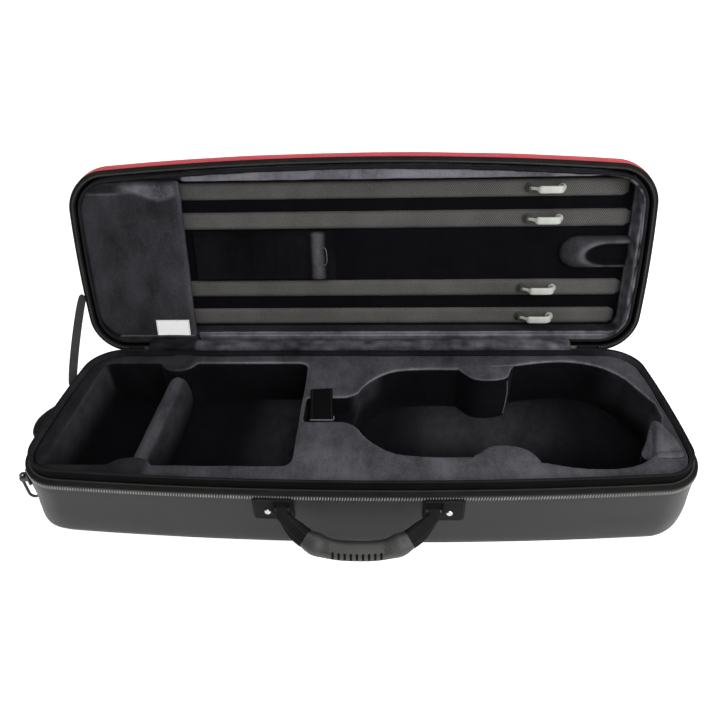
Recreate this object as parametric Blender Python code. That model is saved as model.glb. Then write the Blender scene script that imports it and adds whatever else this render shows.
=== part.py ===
"""Oblong violin case, open, with its lid leaning back on a stay strap.

Metres, +Z up. X runs along the case, Y towards the hinge side. The origin is on the underside,
midway between the straight back wall and the ends of the front wall. The lid is modelled in its
closed place and hangs from an empty on the hinge axis, which turns it open.
"""

import math

import bmesh
import bpy
from mathutils import Vector

# Driving sizes of the case.
HALF_LENGTH = 0.395
HALF_DEPTH = 0.125
FRONT_BOW = 0.0166
END_BOW = 0.005
CORNER_RADIUS = 0.048
BASE_HEIGHT = 0.0885
LID_DEPTH = 0.050
WALL = 0.0063
EDGE_ROUND = 0.011
LID_EDGE_ROUND = 0.017
GAP = 0.0004

# Hinge along the back edge, and how far the lid opens before the stay strap holds it.
HINGE = Vector((0.0, HALF_DEPTH + 0.0015, 0.0927))
OPEN_ANGLE = math.radians(104.5)
HINGE_LEFT = -0.319
HINGE_RIGHT = 0.311
KNUCKLES = 10
BARREL_RADIUS = 0.0019
PIN_RADIUS = 0.0008

# Base interior.
PANEL_THICKNESS = 0.0025
SHELL_UNDERSIDE = 0.0028
SHELL_FLOOR = 0.010
COLLAR_INSET = 0.0067
COLLAR_THICKNESS = 0.0028
COLLAR_BOTTOM = 0.060
COLLAR_TOP = 0.104
DECK_TOP = 0.096
WELL_FLOOR = 0.025
NECK_FLOOR = 0.064
CENTRE_Y = -0.003

# Lid interior, as depths below the lid's rim plane.
LID_RIM = 0.0042
LINING_FACE = 0.006
GROOVE_DEPTH = 0.0135
POCKET_DEPTH = 0.034
BED_FACE = 0.030
COVER_BACK = 0.0138
COVER_FACE = 0.0090

# Bow beds: the middle of each strip, measured from the hinge axis towards the lid's free edge.
BED_CENTRES = (0.2250, 0.1845, 0.0870, 0.0450)
BED_WIDTH = 0.0235
BED_THICKNESS = 0.0036
CLIP_X = 0.2315
CLIP_SPAN = 0.042

# Carry handle on the front, centred a little right of the middle.
HANDLE_X = 0.0065
HANDLE_HALF_SPAN = 0.083
HANDLE_REACH = 0.0455
HANDLE_REST = math.radians(45)
GRIP_HALF_LENGTH = 0.057
TAB_CENTRE_Z = 0.068
HANDLE_PIVOT_Z = 0.0755

# Ring brackets: the side, place along Y and bar height of each.
RINGS = {"left": (-1, -0.088, 0.060), "right": (1, 0.060, 0.052)}
RING_BAR_OUT = 0.0105

SEGMENTS_CORNER = 7
SEGMENTS_FRONT = 12
SEGMENTS_END = 4


# ---------------------------------------------------------------- helpers

def material(name, colour, roughness, metallic=0.0):
    """A Principled material of one colour."""
    mat = bpy.data.materials.new(name)
    mat.use_nodes = True
    shader = mat.node_tree.nodes["Principled BSDF"]
    shader.inputs["Base Color"].default_value = (*colour, 1.0)
    shader.inputs["Roughness"].default_value = roughness
    shader.inputs["Metallic"].default_value = metallic
    return mat


def add_object(name, bm, mat, parent=None, location=(0, 0, 0)):
    """Turn a bmesh into a smooth-shaded object under an optional parent."""
    bmesh.ops.recalc_face_normals(bm, faces=bm.faces)
    mesh = bpy.data.meshes.new(name)
    bm.to_mesh(mesh)
    bm.free()
    mesh.shade_smooth()
    mesh.set_sharp_from_angle(angle=math.radians(35))
    obj = bpy.data.objects.new(name, mesh)
    obj.location = location
    bpy.context.scene.collection.objects.link(obj)
    if parent:
        obj.parent = parent
    if mat:
        mesh.materials.append(mat)
    return obj


def add_empty(name, location, turn_x=0.0, parent=None):
    """An empty that stands on a joint's axis."""
    obj = bpy.data.objects.new(name, None)
    obj.location = location
    obj.rotation_euler = (turn_x, 0, 0)
    bpy.context.scene.collection.objects.link(obj)
    if parent:
        obj.parent = parent
    return obj


def cut(obj, cutter):
    """Subtract a hidden cutter from an object."""
    cutter.hide_render = True
    cutter.display_type = "WIRE"
    modifier = obj.modifiers.new("cut", "BOOLEAN")
    modifier.operation = "DIFFERENCE"
    modifier.object = cutter


def join_shape(obj, addition):
    """Add a hidden shape to an object as part of the same body."""
    addition.hide_render = True
    addition.display_type = "WIRE"
    modifier = obj.modifiers.new("join", "BOOLEAN")
    modifier.operation = "UNION"
    modifier.object = addition


def round_edges(obj, width, segments=2, angle=40):
    """A bevel on the edges that turn sharper than the angle."""
    modifier = obj.modifiers.new("round", "BEVEL")
    modifier.width = width
    modifier.segments = segments
    modifier.limit_method = "ANGLE"
    modifier.angle_limit = math.radians(angle)


def loft_mesh(rings, ring_closed=False):
    """Bridge equal rings of points: capped at both ends, or closed into a band."""
    bm = bmesh.new()
    rows = [[bm.verts.new(p) for p in ring] for ring in rings]
    count = len(rows[0])
    pairs = list(zip(rows, rows[1:]))
    if ring_closed:
        pairs.append((rows[-1], rows[0]))
    for low, high in pairs:
        for i in range(count):
            j = (i + 1) % count
            bm.faces.new((low[i], low[j], high[j], high[i]))
    if not ring_closed:
        bm.faces.new(rows[0])
        bm.faces.new(rows[-1])
    return bm


def slab_mesh(outline, bottom, top):
    """A flat solid between two heights."""
    return loft_mesh([[(x, y, z) for x, y in outline] for z in (bottom, top)])


def box_mesh(low, high):
    """A rectangular solid between two corners."""
    (x0, y0, z0), (x1, y1, z1) = low, high
    return slab_mesh([(x0, y0), (x1, y0), (x1, y1), (x0, y1)], z0, z1)


def rounded_rectangle(x0, x1, y0, y1, right_radius, steps=5, left_radius=None):
    """A counter-clockwise outline with arcs at its four corners."""
    left = left_radius or right_radius
    right = right_radius
    corners = (
        (x1 - right, y1 - right, right, 0),
        (x0 + left, y1 - left, left, 90),
        (x0 + left, y0 + left, left, 180),
        (x1 - right, y0 + right, right, 270),
    )
    points = []
    for cx, cy, radius, start in corners:
        for k in range(steps + 1):
            a = math.radians(start + 90 * k / steps)
            points.append((cx + radius * math.cos(a), cy + radius * math.sin(a)))
    return points


def smooth_curve(points, steps=4):
    """A Catmull-Rom curve through the points, ends held."""
    padded = [points[0], *points, points[-1]]
    curve = []
    for p0, p1, p2, p3 in zip(padded, padded[1:], padded[2:], padded[3:]):
        for k in range(steps):
            t = k / steps
            curve.append(tuple(
                0.5 * (2 * b + (c - a) * t + (2 * a - 5 * b + 4 * c - d) * t ** 2
                       + (3 * b - a - 3 * c + d) * t ** 3)
                for a, b, c, d in zip(p0, p1, p2, p3)
            ))
    curve.append(points[-1])
    return curve


def rod_mesh(start, end, radius, sides=12):
    """A straight round bar."""
    start, end = Vector(start), Vector(end)
    along = (end - start).normalized()
    turn = along.to_track_quat("Z", "Y").to_matrix()
    circle = [Vector((radius * math.cos(2 * math.pi * k / sides),
                      radius * math.sin(2 * math.pi * k / sides), 0)) for k in range(sides)]
    return loft_mesh([[turn @ c + p for c in circle] for p in (start, end)])


def sweep_mesh(path, widths, heights, sides=10, square=2.0):
    """A solid of superelliptic sections along a path in the XY plane; height is along Z."""
    rings = []
    for i, (x, y) in enumerate(path):
        before, after = path[max(i - 1, 0)], path[min(i + 1, len(path) - 1)]
        tangent = Vector((after[0] - before[0], after[1] - before[1], 0)).normalized()
        side = Vector((-tangent.y, tangent.x, 0))
        ring = []
        for k in range(sides):
            a = 2 * math.pi * (k + 0.5) / sides
            across = math.copysign(abs(math.cos(a)) ** (2 / square), math.cos(a))
            up = math.copysign(abs(math.sin(a)) ** (2 / square), math.sin(a))
            ring.append(Vector((x, y, 0)) + side * across * widths[i] / 2
                        + Vector((0, 0, up * heights[i] / 2)))
        rings.append(ring)
    return loft_mesh(rings)


# ---------------------------------------------------------------- the case's plan outline

def case_outline(inset=0.0, back_inset=None):
    """The plan outline pulled in by inset: straight back, bowed front and ends, round corners.

    Counter-clockwise from the right end's back corner.
    """
    if back_inset is None:
        back_inset = inset
    half_x = HALF_LENGTH - END_BOW - inset
    back = HALF_DEPTH - back_inset
    front = HALF_DEPTH - inset
    radius = CORNER_RADIUS - inset
    points = []

    def arc(cx, cy, start):
        for k in range(SEGMENTS_CORNER + 1):
            a = math.radians(start + 90 * k / SEGMENTS_CORNER)
            points.append((cx + radius * math.cos(a), cy + radius * math.sin(a)))

    def run(start, end, count):
        for k in range(1, count):
            t = k / count
            points.append((start[0] + (end[0] - start[0]) * t, start[1] + (end[1] - start[1]) * t))

    arc(half_x - radius, back - radius, 0)
    points.append((0.0, back))
    arc(-half_x + radius, back - radius, 90)
    run((-half_x, back - radius), (-half_x, -front + radius), SEGMENTS_END)
    arc(-half_x + radius, -front + radius, 180)
    run((-half_x + radius, -front), (half_x - radius, -front), SEGMENTS_FRONT)
    arc(half_x - radius, -front + radius, 270)
    run((half_x, -front + radius), (half_x, back - radius), SEGMENTS_END)

    bowed = []
    for x, y in points:
        along = 1 - (x / half_x) ** 2
        across = 1 - (y / max(back, front)) ** 2
        bowed.append((
            x * (1 + END_BOW / half_x * across),
            y * (1 + FRONT_BOW / front * along) if y < 0 else y,
        ))
    return bowed


def outline_ring(inset, z, back_inset=None, offset=(0, 0, 0)):
    """The plan outline as points at one height, measured from an offset."""
    ox, oy, oz = offset
    return [(x - ox, y - oy, z - oz) for x, y in case_outline(inset, back_inset)]


def front_face_y(x):
    """Where the front wall's outer face stands at x."""
    half_x = HALF_LENGTH - END_BOW
    return -(HALF_DEPTH + FRONT_BOW * (1 - (x / half_x) ** 2))


def end_face_x(y):
    """How far out the end walls' outer faces stand at y."""
    return HALF_LENGTH - END_BOW * (y / HALF_DEPTH) ** 2


def open_band(name, section, mat, parent=None, offset=(0, 0, 0)):
    """A band round the front and ends that stops short of the hinge.

    The section is a list of (inset, height); the outline's points between the two hinge ends are
    left out.
    """
    ox, oy, oz = offset
    loops = [case_outline(inset) for inset, _ in section]
    count = len(loops[0])
    first = SEGMENTS_CORNER + 2
    order = [i % count for i in range(first, first + count - 1)]
    rings = [[(loops[k][i][0] - ox, loops[k][i][1] - oy, z - oz)
              for k, (_, z) in enumerate(section)] for i in order]
    return add_object(name, loft_mesh(rings), mat, parent)


# ---------------------------------------------------------------- base shell and rim

def make_base_shell(mats):
    """The outer tray: rounded lower edge, straight walls, open top."""
    steps = 4
    rounding = [math.radians(90 * k / steps) for k in range(steps + 1)]
    profile = [(EDGE_ROUND * (1 - math.sin(a)), SHELL_UNDERSIDE + EDGE_ROUND * (1 - math.cos(a)))
               for a in rounding]
    profile += [(0, BASE_HEIGHT), (WALL, BASE_HEIGHT), (WALL, SHELL_FLOOR)]
    rings = [outline_ring(inset, z) for inset, z in profile]
    add_object("base_shell", loft_mesh(rings), mats["leatherette"])


def make_bottom_panel(mats):
    """The flat panel sewn under the shell, which the case stands on."""
    rings = [outline_ring(0.0125, 0), outline_ring(0.011, 0.0012), outline_ring(0.012, PANEL_THICKNESS)]
    add_object("bottom_panel", loft_mesh(rings), mats["leatherette"])


def make_collar(mats):
    """The thin upright lip inside the rim, which the lid closes over."""
    inner = COLLAR_INSET + COLLAR_THICKNESS
    section = ((COLLAR_INSET, COLLAR_BOTTOM), (COLLAR_INSET, COLLAR_TOP),
               (inner, COLLAR_TOP), (inner, COLLAR_BOTTOM))
    rings = [outline_ring(inset, z) for inset, z in section]
    add_object("base_collar", loft_mesh(rings, ring_closed=True), mats["black_fabric"])


def make_zip_tapes(mats, lid_axis):
    """Half of the zip on the base's rim and half on the lid's."""
    low = BASE_HEIGHT + 0.0003
    base_section = ((0.0003, low), (0.0008, low + 0.0018), (0.0060, HINGE.z - 0.0005), (0.0060, low))
    open_band("zip_tape_base", base_section, mats["zip_tape"])
    high = HINGE.z + LID_RIM - 0.0003
    lid_section = ((0.0003, high), (0.0008, high - 0.0018), (0.0060, HINGE.z + 0.0005), (0.0060, high))
    open_band("zip_tape_lid", lid_section, mats["zip_tape"], lid_axis, HINGE)


# ---------------------------------------------------------------- base interior

def cavity_side():
    """Half of the violin well's outline: x and distance from the well's centre line."""
    bouts = ((-0.004, 0.012), (0.006, 0.041), (0.024, 0.063), (0.050, 0.079), (0.090, 0.0835),
             (0.130, 0.0835), (0.170, 0.085), (0.210, 0.091), (0.250, 0.099), (0.285, 0.1015),
             (0.315, 0.096), (0.338, 0.084), (0.356, 0.064))
    return smooth_curve(bouts, steps=2) + [(0.3755, 0.012)]


def cavity_outline():
    """The violin well: upper bout at the left, lower bout at the right, blunt point at its end."""
    side = cavity_side()
    lower = [(x, CENTRE_Y - w) for x, w in side]
    upper = [(x, CENTRE_Y + w) for x, w in reversed(side)]
    return lower + upper


def make_foam_tray(mats):
    """The padded insert with its wells: two compartments, the neck slot and the violin well."""
    inset = COLLAR_INSET + COLLAR_THICKNESS + GAP
    rings = [outline_ring(inset, SHELL_FLOOR + 0.0003), outline_ring(inset, DECK_TOP - 0.003),
             outline_ring(inset + 0.003, DECK_TOP)]
    tray = add_object("foam_tray", loft_mesh(rings), mats["velvet"])
    top = DECK_TOP + 0.02
    wells = {
        "cut_compartments": (rounded_rectangle(-0.3645, -0.0715, -0.1025, 0.0945, 0.012, 3), WELL_FLOOR),
        "cut_violin": (cavity_outline(), WELL_FLOOR),
        "cut_neck": (rounded_rectangle(-0.066, 0.020, -0.025, 0.019, 0.004, 2), NECK_FLOOR),
    }
    for name, (outline, floor) in wells.items():
        cut(tray, add_object(name, slab_mesh(outline, floor, top), None))


def make_divider(mats):
    """The upright padded wall between the two compartments, with a rounded top edge."""
    bm = box_mesh((-0.2580, -0.1020, WELL_FLOOR + 0.0005), (-0.2445, 0.0940, DECK_TOP - 0.005))
    divider = add_object("compartment_divider", bm, mats["velvet"])
    round_edges(divider, 0.0055, 3)


def make_waist_block(name, side, inner, mats):
    """A foam block that narrows the violin well at the instrument's waist."""
    half_widths = cavity_side()
    wall = [(x, w - 0.0006) for x, w in half_widths if 0.140 < x < 0.212]
    face = smooth_curve(((0.2125, 0.089), (0.205, 0.076), (0.192, inner), (0.172, inner - 0.0015),
                         (0.156, inner), (0.146, 0.071), (0.139, 0.0825)), steps=2)
    outline = [(x, CENTRE_Y + side * w) for x, w in [*wall, *face]]
    if side < 0:
        outline.reverse()
    bm = slab_mesh(outline, WELL_FLOOR + 0.0005, DECK_TOP - 0.0005)
    add_object(name, bm, mats["velvet"])


def make_floor_pads(mats):
    """Thin padded panels laid in the three wells."""
    bottom, top = WELL_FLOOR + 0.0004, WELL_FLOOR + 0.0034
    left = rounded_rectangle(-0.3625, -0.2590, -0.1005, 0.0925, 0.010, 3)
    right = rounded_rectangle(-0.2435, -0.0735, -0.1005, 0.0925, 0.010, 3)
    add_object("left_floor_pad", slab_mesh(left, bottom, top), mats["velvet"])
    add_object("right_floor_pad", slab_mesh(right, bottom, top), mats["velvet"])
    side = [(x, w) for x, w in cavity_side() if w > 0.05]
    narrow = [(min(max(x, 0.020), 0.362), min(w - 0.004, waist_limit(x))) for x, w in side]
    lower = [(x, CENTRE_Y - w) for x, w in narrow]
    upper = [(x, CENTRE_Y + w) for x, w in reversed(narrow)]
    add_object("violin_floor_pad", slab_mesh(lower + upper, bottom, top), mats["velvet"])


def waist_limit(x):
    """The floor pad's half width where it passes between the waist blocks."""
    return 0.058 if 0.128 < x < 0.222 else 1.0


def make_neck_strap(mats):
    """The hook-and-loop strap over the instrument's neck, hinged at its sewn back end."""
    thickness = 0.0024
    pivot = Vector((-0.0475, 0.033, DECK_TOP + 0.0018))
    bm = box_mesh((-0.0145, -0.061, -thickness / 2), (0.0145, 0, thickness / 2))
    strap = add_object("neck_strap", bm, mats["black_fabric"], location=pivot)
    round_edges(strap, 0.0008, 1)


# ---------------------------------------------------------------- hinge, stay strap, zip ends

def hinge_leaf(name, kind, mats, parent=None):
    """One leaf of the long hinge: a plate along a rim and every second knuckle."""
    length = HINGE_RIGHT - HINGE_LEFT
    pitch = length / KNUCKLES
    if kind == "base":
        low, high = Vector((HINGE_LEFT, -0.0075, -0.0040)), Vector((HINGE_RIGHT, -0.0011, -0.0028))
        first = 0
        link = ((-0.0022, -0.0040), (-0.0009, -0.0014))
    else:
        low, high = Vector((HINGE_LEFT, -0.0076, 0.0028)), Vector((HINGE_RIGHT, -0.0011, 0.0040))
        first = 1
        link = ((-0.0022, 0.0014), (-0.0009, 0.0040))
    leaf = add_object(name, box_mesh(low, high), mats["nickel"], parent, HINGE if kind == "base" else (0, 0, 0))
    for k in range(first, KNUCKLES, 2):
        x0 = HINGE_LEFT + k * pitch + 0.0004
        x1 = x0 + pitch - 0.0008
        (y0, z0), (y1, z1) = link
        for shape in (rod_mesh((x0, 0, 0), (x1, 0, 0), BARREL_RADIUS, 10),
                      box_mesh((x0, y0, z0), (x1, y1, z1))):
            knuckle = add_object(f"{name}_knuckle", shape, None, parent, leaf.location)
            join_shape(leaf, knuckle)
    bore = rod_mesh((HINGE_LEFT - 0.01, 0, 0), (HINGE_RIGHT + 0.01, 0, 0), PIN_RADIUS + 0.0003, 10)
    cut(leaf, add_object(f"{name}_bore", bore, None, parent, leaf.location))


def make_hinge(mats, lid_axis):
    """The two leaves and the pin they turn on."""
    hinge_leaf("hinge_leaf_base", "base", mats)
    hinge_leaf("hinge_leaf_lid", "lid", mats, lid_axis)
    pin = rod_mesh((HINGE_LEFT - 0.0008, 0, 0), (HINGE_RIGHT + 0.0008, 0, 0), PIN_RADIUS, 8)
    add_object("hinge_pin", pin, mats["nickel"], location=HINGE)


def make_gusset(mats):
    """The strip of cloth that covers the hinge inside, from the collar up to the lid's lining."""
    path = ((0.1130, 0.1046), (0.1175, 0.1060), (0.1230, 0.1072), (0.1285, 0.1078), (0.1335, 0.1080))
    thickness = 0.0008
    rings = [[(x, y, z) for y, z in path] + [(x, y, z + thickness) for y, z in reversed(path)]
             for x in (-0.305, 0.297)]
    add_object("hinge_gusset", loft_mesh(rings), mats["black_fabric"])


def make_stay_strap(mats):
    """The webbing that holds the lid open, outside the left end."""
    width, thickness, x = 0.011, 0.0016, -0.3972
    low, high = Vector((0, 0.053, 0.0850)), Vector((0, 0.1525, 0.1745))
    along = (high - low).normalized()
    across = Vector((0, along.z, -along.y)) * width / 2
    corners = (low - across, low + across, high + across, high - across)
    rings = [[(x + dx, c.y, c.z) for c in corners] for dx in (-thickness / 2, thickness / 2)]
    add_object("stay_strap", loft_mesh(rings), mats["webbing"])


def make_zip_sliders(mats):
    """A slider at each end of the zip beside the hinge, with its pull hanging behind."""
    for name, x in (("left", HINGE_LEFT - 0.009), ("right", HINGE_RIGHT + 0.013)):
        body = box_mesh((-0.0045, -0.0022, -0.0020), (0.0045, 0.0014, 0.0020))
        slider = add_object(f"zip_slider_{name}", body, mats["nickel"], location=HINGE + Vector((x, 0, 0)))
        round_edges(slider, 0.0006, 1)
        pull = box_mesh((-0.0026, -0.0005, -0.027), (0.0026, 0.0005, -0.0024))
        pull = add_object(f"zip_pull_{name}", pull, mats["nickel"],
                          location=HINGE + Vector((x, 0.0004, -0.0004)))
        round_edges(pull, 0.0004, 1)


# ---------------------------------------------------------------- lid

def make_lid_shell(mats, lid_axis):
    """The lid's outer shell, in its closed place above the base."""
    top = HINGE.z + LID_DEPTH
    steps = 4
    rounding = [math.radians(90 * k / steps) for k in range(steps + 1)]
    profile = [(LID_EDGE_ROUND * (1 - math.sin(a)), top - LID_EDGE_ROUND * (1 - math.cos(a)))
               for a in rounding]
    profile += [(0, HINGE.z + LID_RIM), (WALL, HINGE.z + LID_RIM), (WALL, top - 0.006)]
    rings = [outline_ring(inset, z, offset=HINGE) for inset, z in profile]
    add_object("lid_shell", loft_mesh(rings), mats["red_fabric"], lid_axis)


def lid_outline(x0, x1, s0, s1, right_radius, steps=3, left_radius=None):
    """A rounded rectangle in the lid, given from the hinge axis towards the free edge."""
    return rounded_rectangle(x0, x1, -s1, -s0, right_radius, steps, left_radius)


def make_lid_lining(mats, lid_axis):
    """The padded frame inside the lid, with a groove for the collar and the bow pocket."""
    wall = WALL + GAP
    groove, back_groove = 0.0125, 0.0178
    profile = ((wall, LID_DEPTH - 0.0064, wall), (wall, GROOVE_DEPTH, wall),
               (groove, GROOVE_DEPTH, back_groove), (groove, LINING_FACE + 0.002, back_groove),
               (groove + 0.002, LINING_FACE, back_groove + 0.002))
    rings = [outline_ring(inset, HINGE.z + w, back, HINGE) for inset, w, back in profile]
    lining = add_object("lid_lining", loft_mesh(rings), mats["velvet"], lid_axis)
    pocket = slab_mesh(lid_outline(-0.372, 0.368, 0.030, 0.240, 0.018), -0.01, POCKET_DEPTH)
    cut(lining, add_object("cut_pocket", pocket, None, lid_axis))
    ledge = slab_mesh(lid_outline(-0.42, -0.2360, 0.0185, 0.30, 0.004), -0.01, COVER_BACK)
    cut(lining, add_object("cut_cover_ledge", ledge, None, lid_axis))


def make_tip_cover(mats, lid_axis):
    """The padded panel over the bow tips at the lid's left end, and the blank label on it."""
    rings = []
    for edge, w in ((0.0, COVER_BACK - 0.0003), (0.0, COVER_FACE + 0.001), (0.0016, COVER_FACE)):
        outline = lid_outline(-0.3820 + edge, -0.2395 - edge, 0.0200 + edge, 0.2390 - edge,
                              0.004, 5, 0.036)
        rings.append([(x, y, w) for x, y in outline])
    add_object("bow_tip_cover", loft_mesh(rings), mats["velvet"], lid_axis)
    label = box_mesh((-0.296, -0.0465, COVER_FACE - 0.0008), (-0.2495, -0.0190, COVER_FACE - 0.0003))
    add_object("blank_label", label, mats["label"], lid_axis)


def make_bow_beds(mats, lid_axis):
    """Four ribbed strips that the bows lie on."""
    for number, centre in enumerate(BED_CENTRES, 1):
        right = 0.349 if number in (1, 4) else 0.365
        half = BED_WIDTH / 2
        bm = box_mesh((-0.355, -centre - half, BED_FACE), (right, -centre + half, BED_FACE + BED_THICKNESS))
        add_object(f"bow_bed_{number}", bm, mats["bed_cloth"], lid_axis)


def make_centre_pads(mats, lid_axis):
    """The pads between the inner beds: over the neck at the left, over the tailpiece at the right."""
    back = POCKET_DEPTH - 0.0004
    neck = slab_mesh(lid_outline(-0.233, -0.040, 0.1035, 0.1690, 0.004, 2), 0.0215, back)
    pad = add_object("neck_pad", neck, mats["velvet"], lid_axis)
    round_edges(pad, 0.0035, 2)
    tongue = slab_mesh(lid_outline(0.281, 0.366, 0.1175, 0.1580, 0.016, 4), 0.0190, back)
    pad = add_object("tail_pad", tongue, mats["velvet"], lid_axis)
    round_edges(pad, 0.004, 2)
    loop = slab_mesh(lid_outline(-0.0545, -0.0455, 0.1190, 0.1490, 0.003, 2), 0.0195, 0.0212)
    add_object("pull_tab", loop, mats["ribbon"], lid_axis)


def make_bow_clips(mats, lid_axis):
    """Turning bow clips: a fixed post and an arm that swings across the bow."""
    for number, centre in enumerate(BED_CENTRES, 1):
        place = Vector((CLIP_X, -centre, 0))
        post = rod_mesh((0, 0, BED_FACE - 0.0003), (0, 0, 0.0112), 0.0030, 12)
        foot = rod_mesh((0, 0, BED_FACE - 0.0003), (0, 0, BED_FACE - 0.0022), 0.0070, 16)
        cap = rod_mesh((0, 0, 0.0112), (0, 0, 0.0092), 0.0050, 16)
        body = add_object(f"bow_clip_post_{number}", post, mats["dark_plastic"], lid_axis, place)
        for part in (foot, cap):
            join_shape(body, add_object(f"post_part_{number}", part, None, lid_axis, place))
        arm = clip_arm_mesh()
        arm = add_object(f"bow_clip_arm_{number}", arm, mats["clip_plastic"], lid_axis, place)
        hole = rod_mesh((0, 0, 0), (0, 0, 0.05), 0.0034, 12)
        cut(arm, add_object(f"arm_hole_{number}", hole, None, lid_axis, place))


def clip_arm_mesh():
    """A rounded bar from the pivot boss to the far boss, dropping towards the bow bed."""
    outline = rounded_rectangle(-0.0068, CLIP_SPAN + 0.0068, -0.0052, 0.0052, 0.00515, 4)
    rings = []
    for low in (True, False):
        ring = []
        for x, y in outline:
            lift = 0.0045 * smooth_step((x - 0.006) / 0.010) if low else 0.0
            ring.append((x, y, 0.0118 if not low else 0.0205 - lift))
        rings.append(ring)
    return loft_mesh(rings)


def smooth_step(t):
    """0 below 0, 1 above 1, smooth between."""
    t = min(max(t, 0.0), 1.0)
    return t * t * (3 - 2 * t)


# ---------------------------------------------------------------- carry handle

def handle_path(start, end, steps):
    """The handle's centre line in its own plane, from x = start to x = end."""
    points = []
    for k in range(steps + 1):
        x = start + (end - start) * k / steps
        reach = HANDLE_REACH * (1 - (abs(x) / (HANDLE_HALF_SPAN + 0.004)) ** 3.4)
        points.append((x, -reach))
    return points


def make_handle_tabs(mats):
    """The two sewn patches on the front wall, each with a rivet and two ears that hold the handle."""
    pivot_y = handle_pivot_y()
    for name, side in (("left", -1), ("right", 1)):
        centre = HANDLE_X + side * 0.0945
        face = front_face_y(centre)
        tilt = side * math.atan(2 * FRONT_BOW * abs(centre) / (HALF_LENGTH - END_BOW) ** 2)
        plate = box_mesh((-0.0230, -0.0027, -0.0165), (0.0230, -0.0005, 0.0165))
        tab = add_object(f"handle_tab_{name}", plate, mats["black_fabric"],
                         location=(centre, face, TAB_CENTRE_Z))
        tab.rotation_euler = (0, 0, tilt)
        for edge in (-0.0098, 0.0098):
            x = HANDLE_X + side * HANDLE_HALF_SPAN + edge
            ear = box_mesh((x - 0.0012, pivot_y - 0.0032, HANDLE_PIVOT_Z - 0.0040),
                           (x + 0.0012, face - 0.0012, HANDLE_PIVOT_Z + 0.0040))
            join_shape(tab, add_object(f"ear_{name}", ear, None))
        middle = HANDLE_X + side * HANDLE_HALF_SPAN
        bar = rod_mesh((middle - 0.0103, pivot_y, HANDLE_PIVOT_Z),
                       (middle + 0.0103, pivot_y, HANDLE_PIVOT_Z), 0.0018, 10)
        join_shape(tab, add_object(f"bar_{name}", bar, None))
        rivet_x = HANDLE_X + side * 0.1010
        make_rivet(f"handle_rivet_{name}", rivet_x, front_face_y(rivet_x) - 0.0033, mats)


def make_rivet(name, x, y, mats):
    """A round rivet head with a domed face, looking forward."""
    profile = ((0.0048, 0.0), (0.0048, 0.0008), (0.0036, 0.0018), (0.0016, 0.0022))
    sides = 16
    rings = [[(r * math.cos(2 * math.pi * k / sides), -h, r * math.sin(2 * math.pi * k / sides))
              for k in range(sides)] for r, h in profile]
    add_object(name, loft_mesh(rings), mats["steel"], location=(x, y, TAB_CENTRE_Z - 0.003))


def handle_pivot_y():
    """The handle's hinge line stands clear of the front wall."""
    return front_face_y(HANDLE_X + HANDLE_HALF_SPAN) - 0.0095


def make_handle(mats):
    """The rubber grip and the two sleeves that turn on the tabs' bars."""
    axis = add_empty("handle_axis", (HANDLE_X, handle_pivot_y(), HANDLE_PIVOT_Z), HANDLE_REST)
    path = handle_path(-GRIP_HALF_LENGTH, GRIP_HALF_LENGTH, 16)
    widths = [0.0210 - 0.0030 * (abs(x) / GRIP_HALF_LENGTH) ** 4 for x, _ in path]
    heights = [0.0216 - 0.0040 * (abs(x) / GRIP_HALF_LENGTH) ** 4 for x, _ in path]
    add_object("handle_grip", sweep_mesh(path, widths, heights, 14, 2.4), mats["rubber"], axis)
    for name, side in (("left", -1), ("right", 1)):
        inner = side * (GRIP_HALF_LENGTH + 0.0012)
        outer = side * (HANDLE_HALF_SPAN - 0.003)
        path = handle_path(inner, outer, 5)
        path = path[:-1] + [(side * HANDLE_HALF_SPAN, -0.0030)]
        widths = [0.0170] * 3 + [0.0160, 0.0135, 0.0115]
        heights = [0.0140, 0.0120, 0.0100, 0.0090, 0.0080, 0.0075]
        sleeve = add_object(f"handle_sleeve_{name}", sweep_mesh(path, widths, heights, 10, 3.0),
                            mats["black_fabric"], axis)
        middle = side * HANDLE_HALF_SPAN
        hub = rod_mesh((middle - 0.0066, 0, 0), (middle + 0.0066, 0, 0), 0.0042, 12)
        join_shape(sleeve, add_object(f"hub_{name}", hub, None, axis))
        bore = rod_mesh((middle - 0.02, 0, 0), (middle + 0.02, 0, 0), 0.0023, 12)
        cut(sleeve, add_object(f"hub_bore_{name}", bore, None, axis))


# ---------------------------------------------------------------- ends of the case

def make_side_handle(mats):
    """The webbing grab strap on the left end, bowed out so that a hand goes behind it."""
    half_width, thickness = 0.0125, 0.0022
    route = smooth_curve(((0.040, 0.0015), (0.030, 0.0015), (0.020, 0.0080), (0.004, 0.0175),
                          (-0.014, 0.0215), (-0.034, 0.0170), (-0.048, 0.0070), (-0.058, 0.0015),
                          (-0.068, 0.0015)), steps=2)
    outer = []
    inner = []
    for i, (y, out) in enumerate(route):
        before, after = route[max(i - 1, 0)], route[min(i + 1, len(route) - 1)]
        tangent = Vector((after[0] - before[0], after[1] - before[1])).normalized()
        normal = Vector((tangent.y, -tangent.x)) * thickness / 2
        base = end_face_x(y)
        outer.append((-(base + out + normal.y), y + normal.x))
        inner.append((-(base + out - normal.y), y - normal.x))
    outline = outer + inner[::-1]
    bm = slab_mesh(outline, 0.0700 - half_width, 0.0700 + half_width)
    add_object("side_handle", bm, mats["webbing"])


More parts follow.
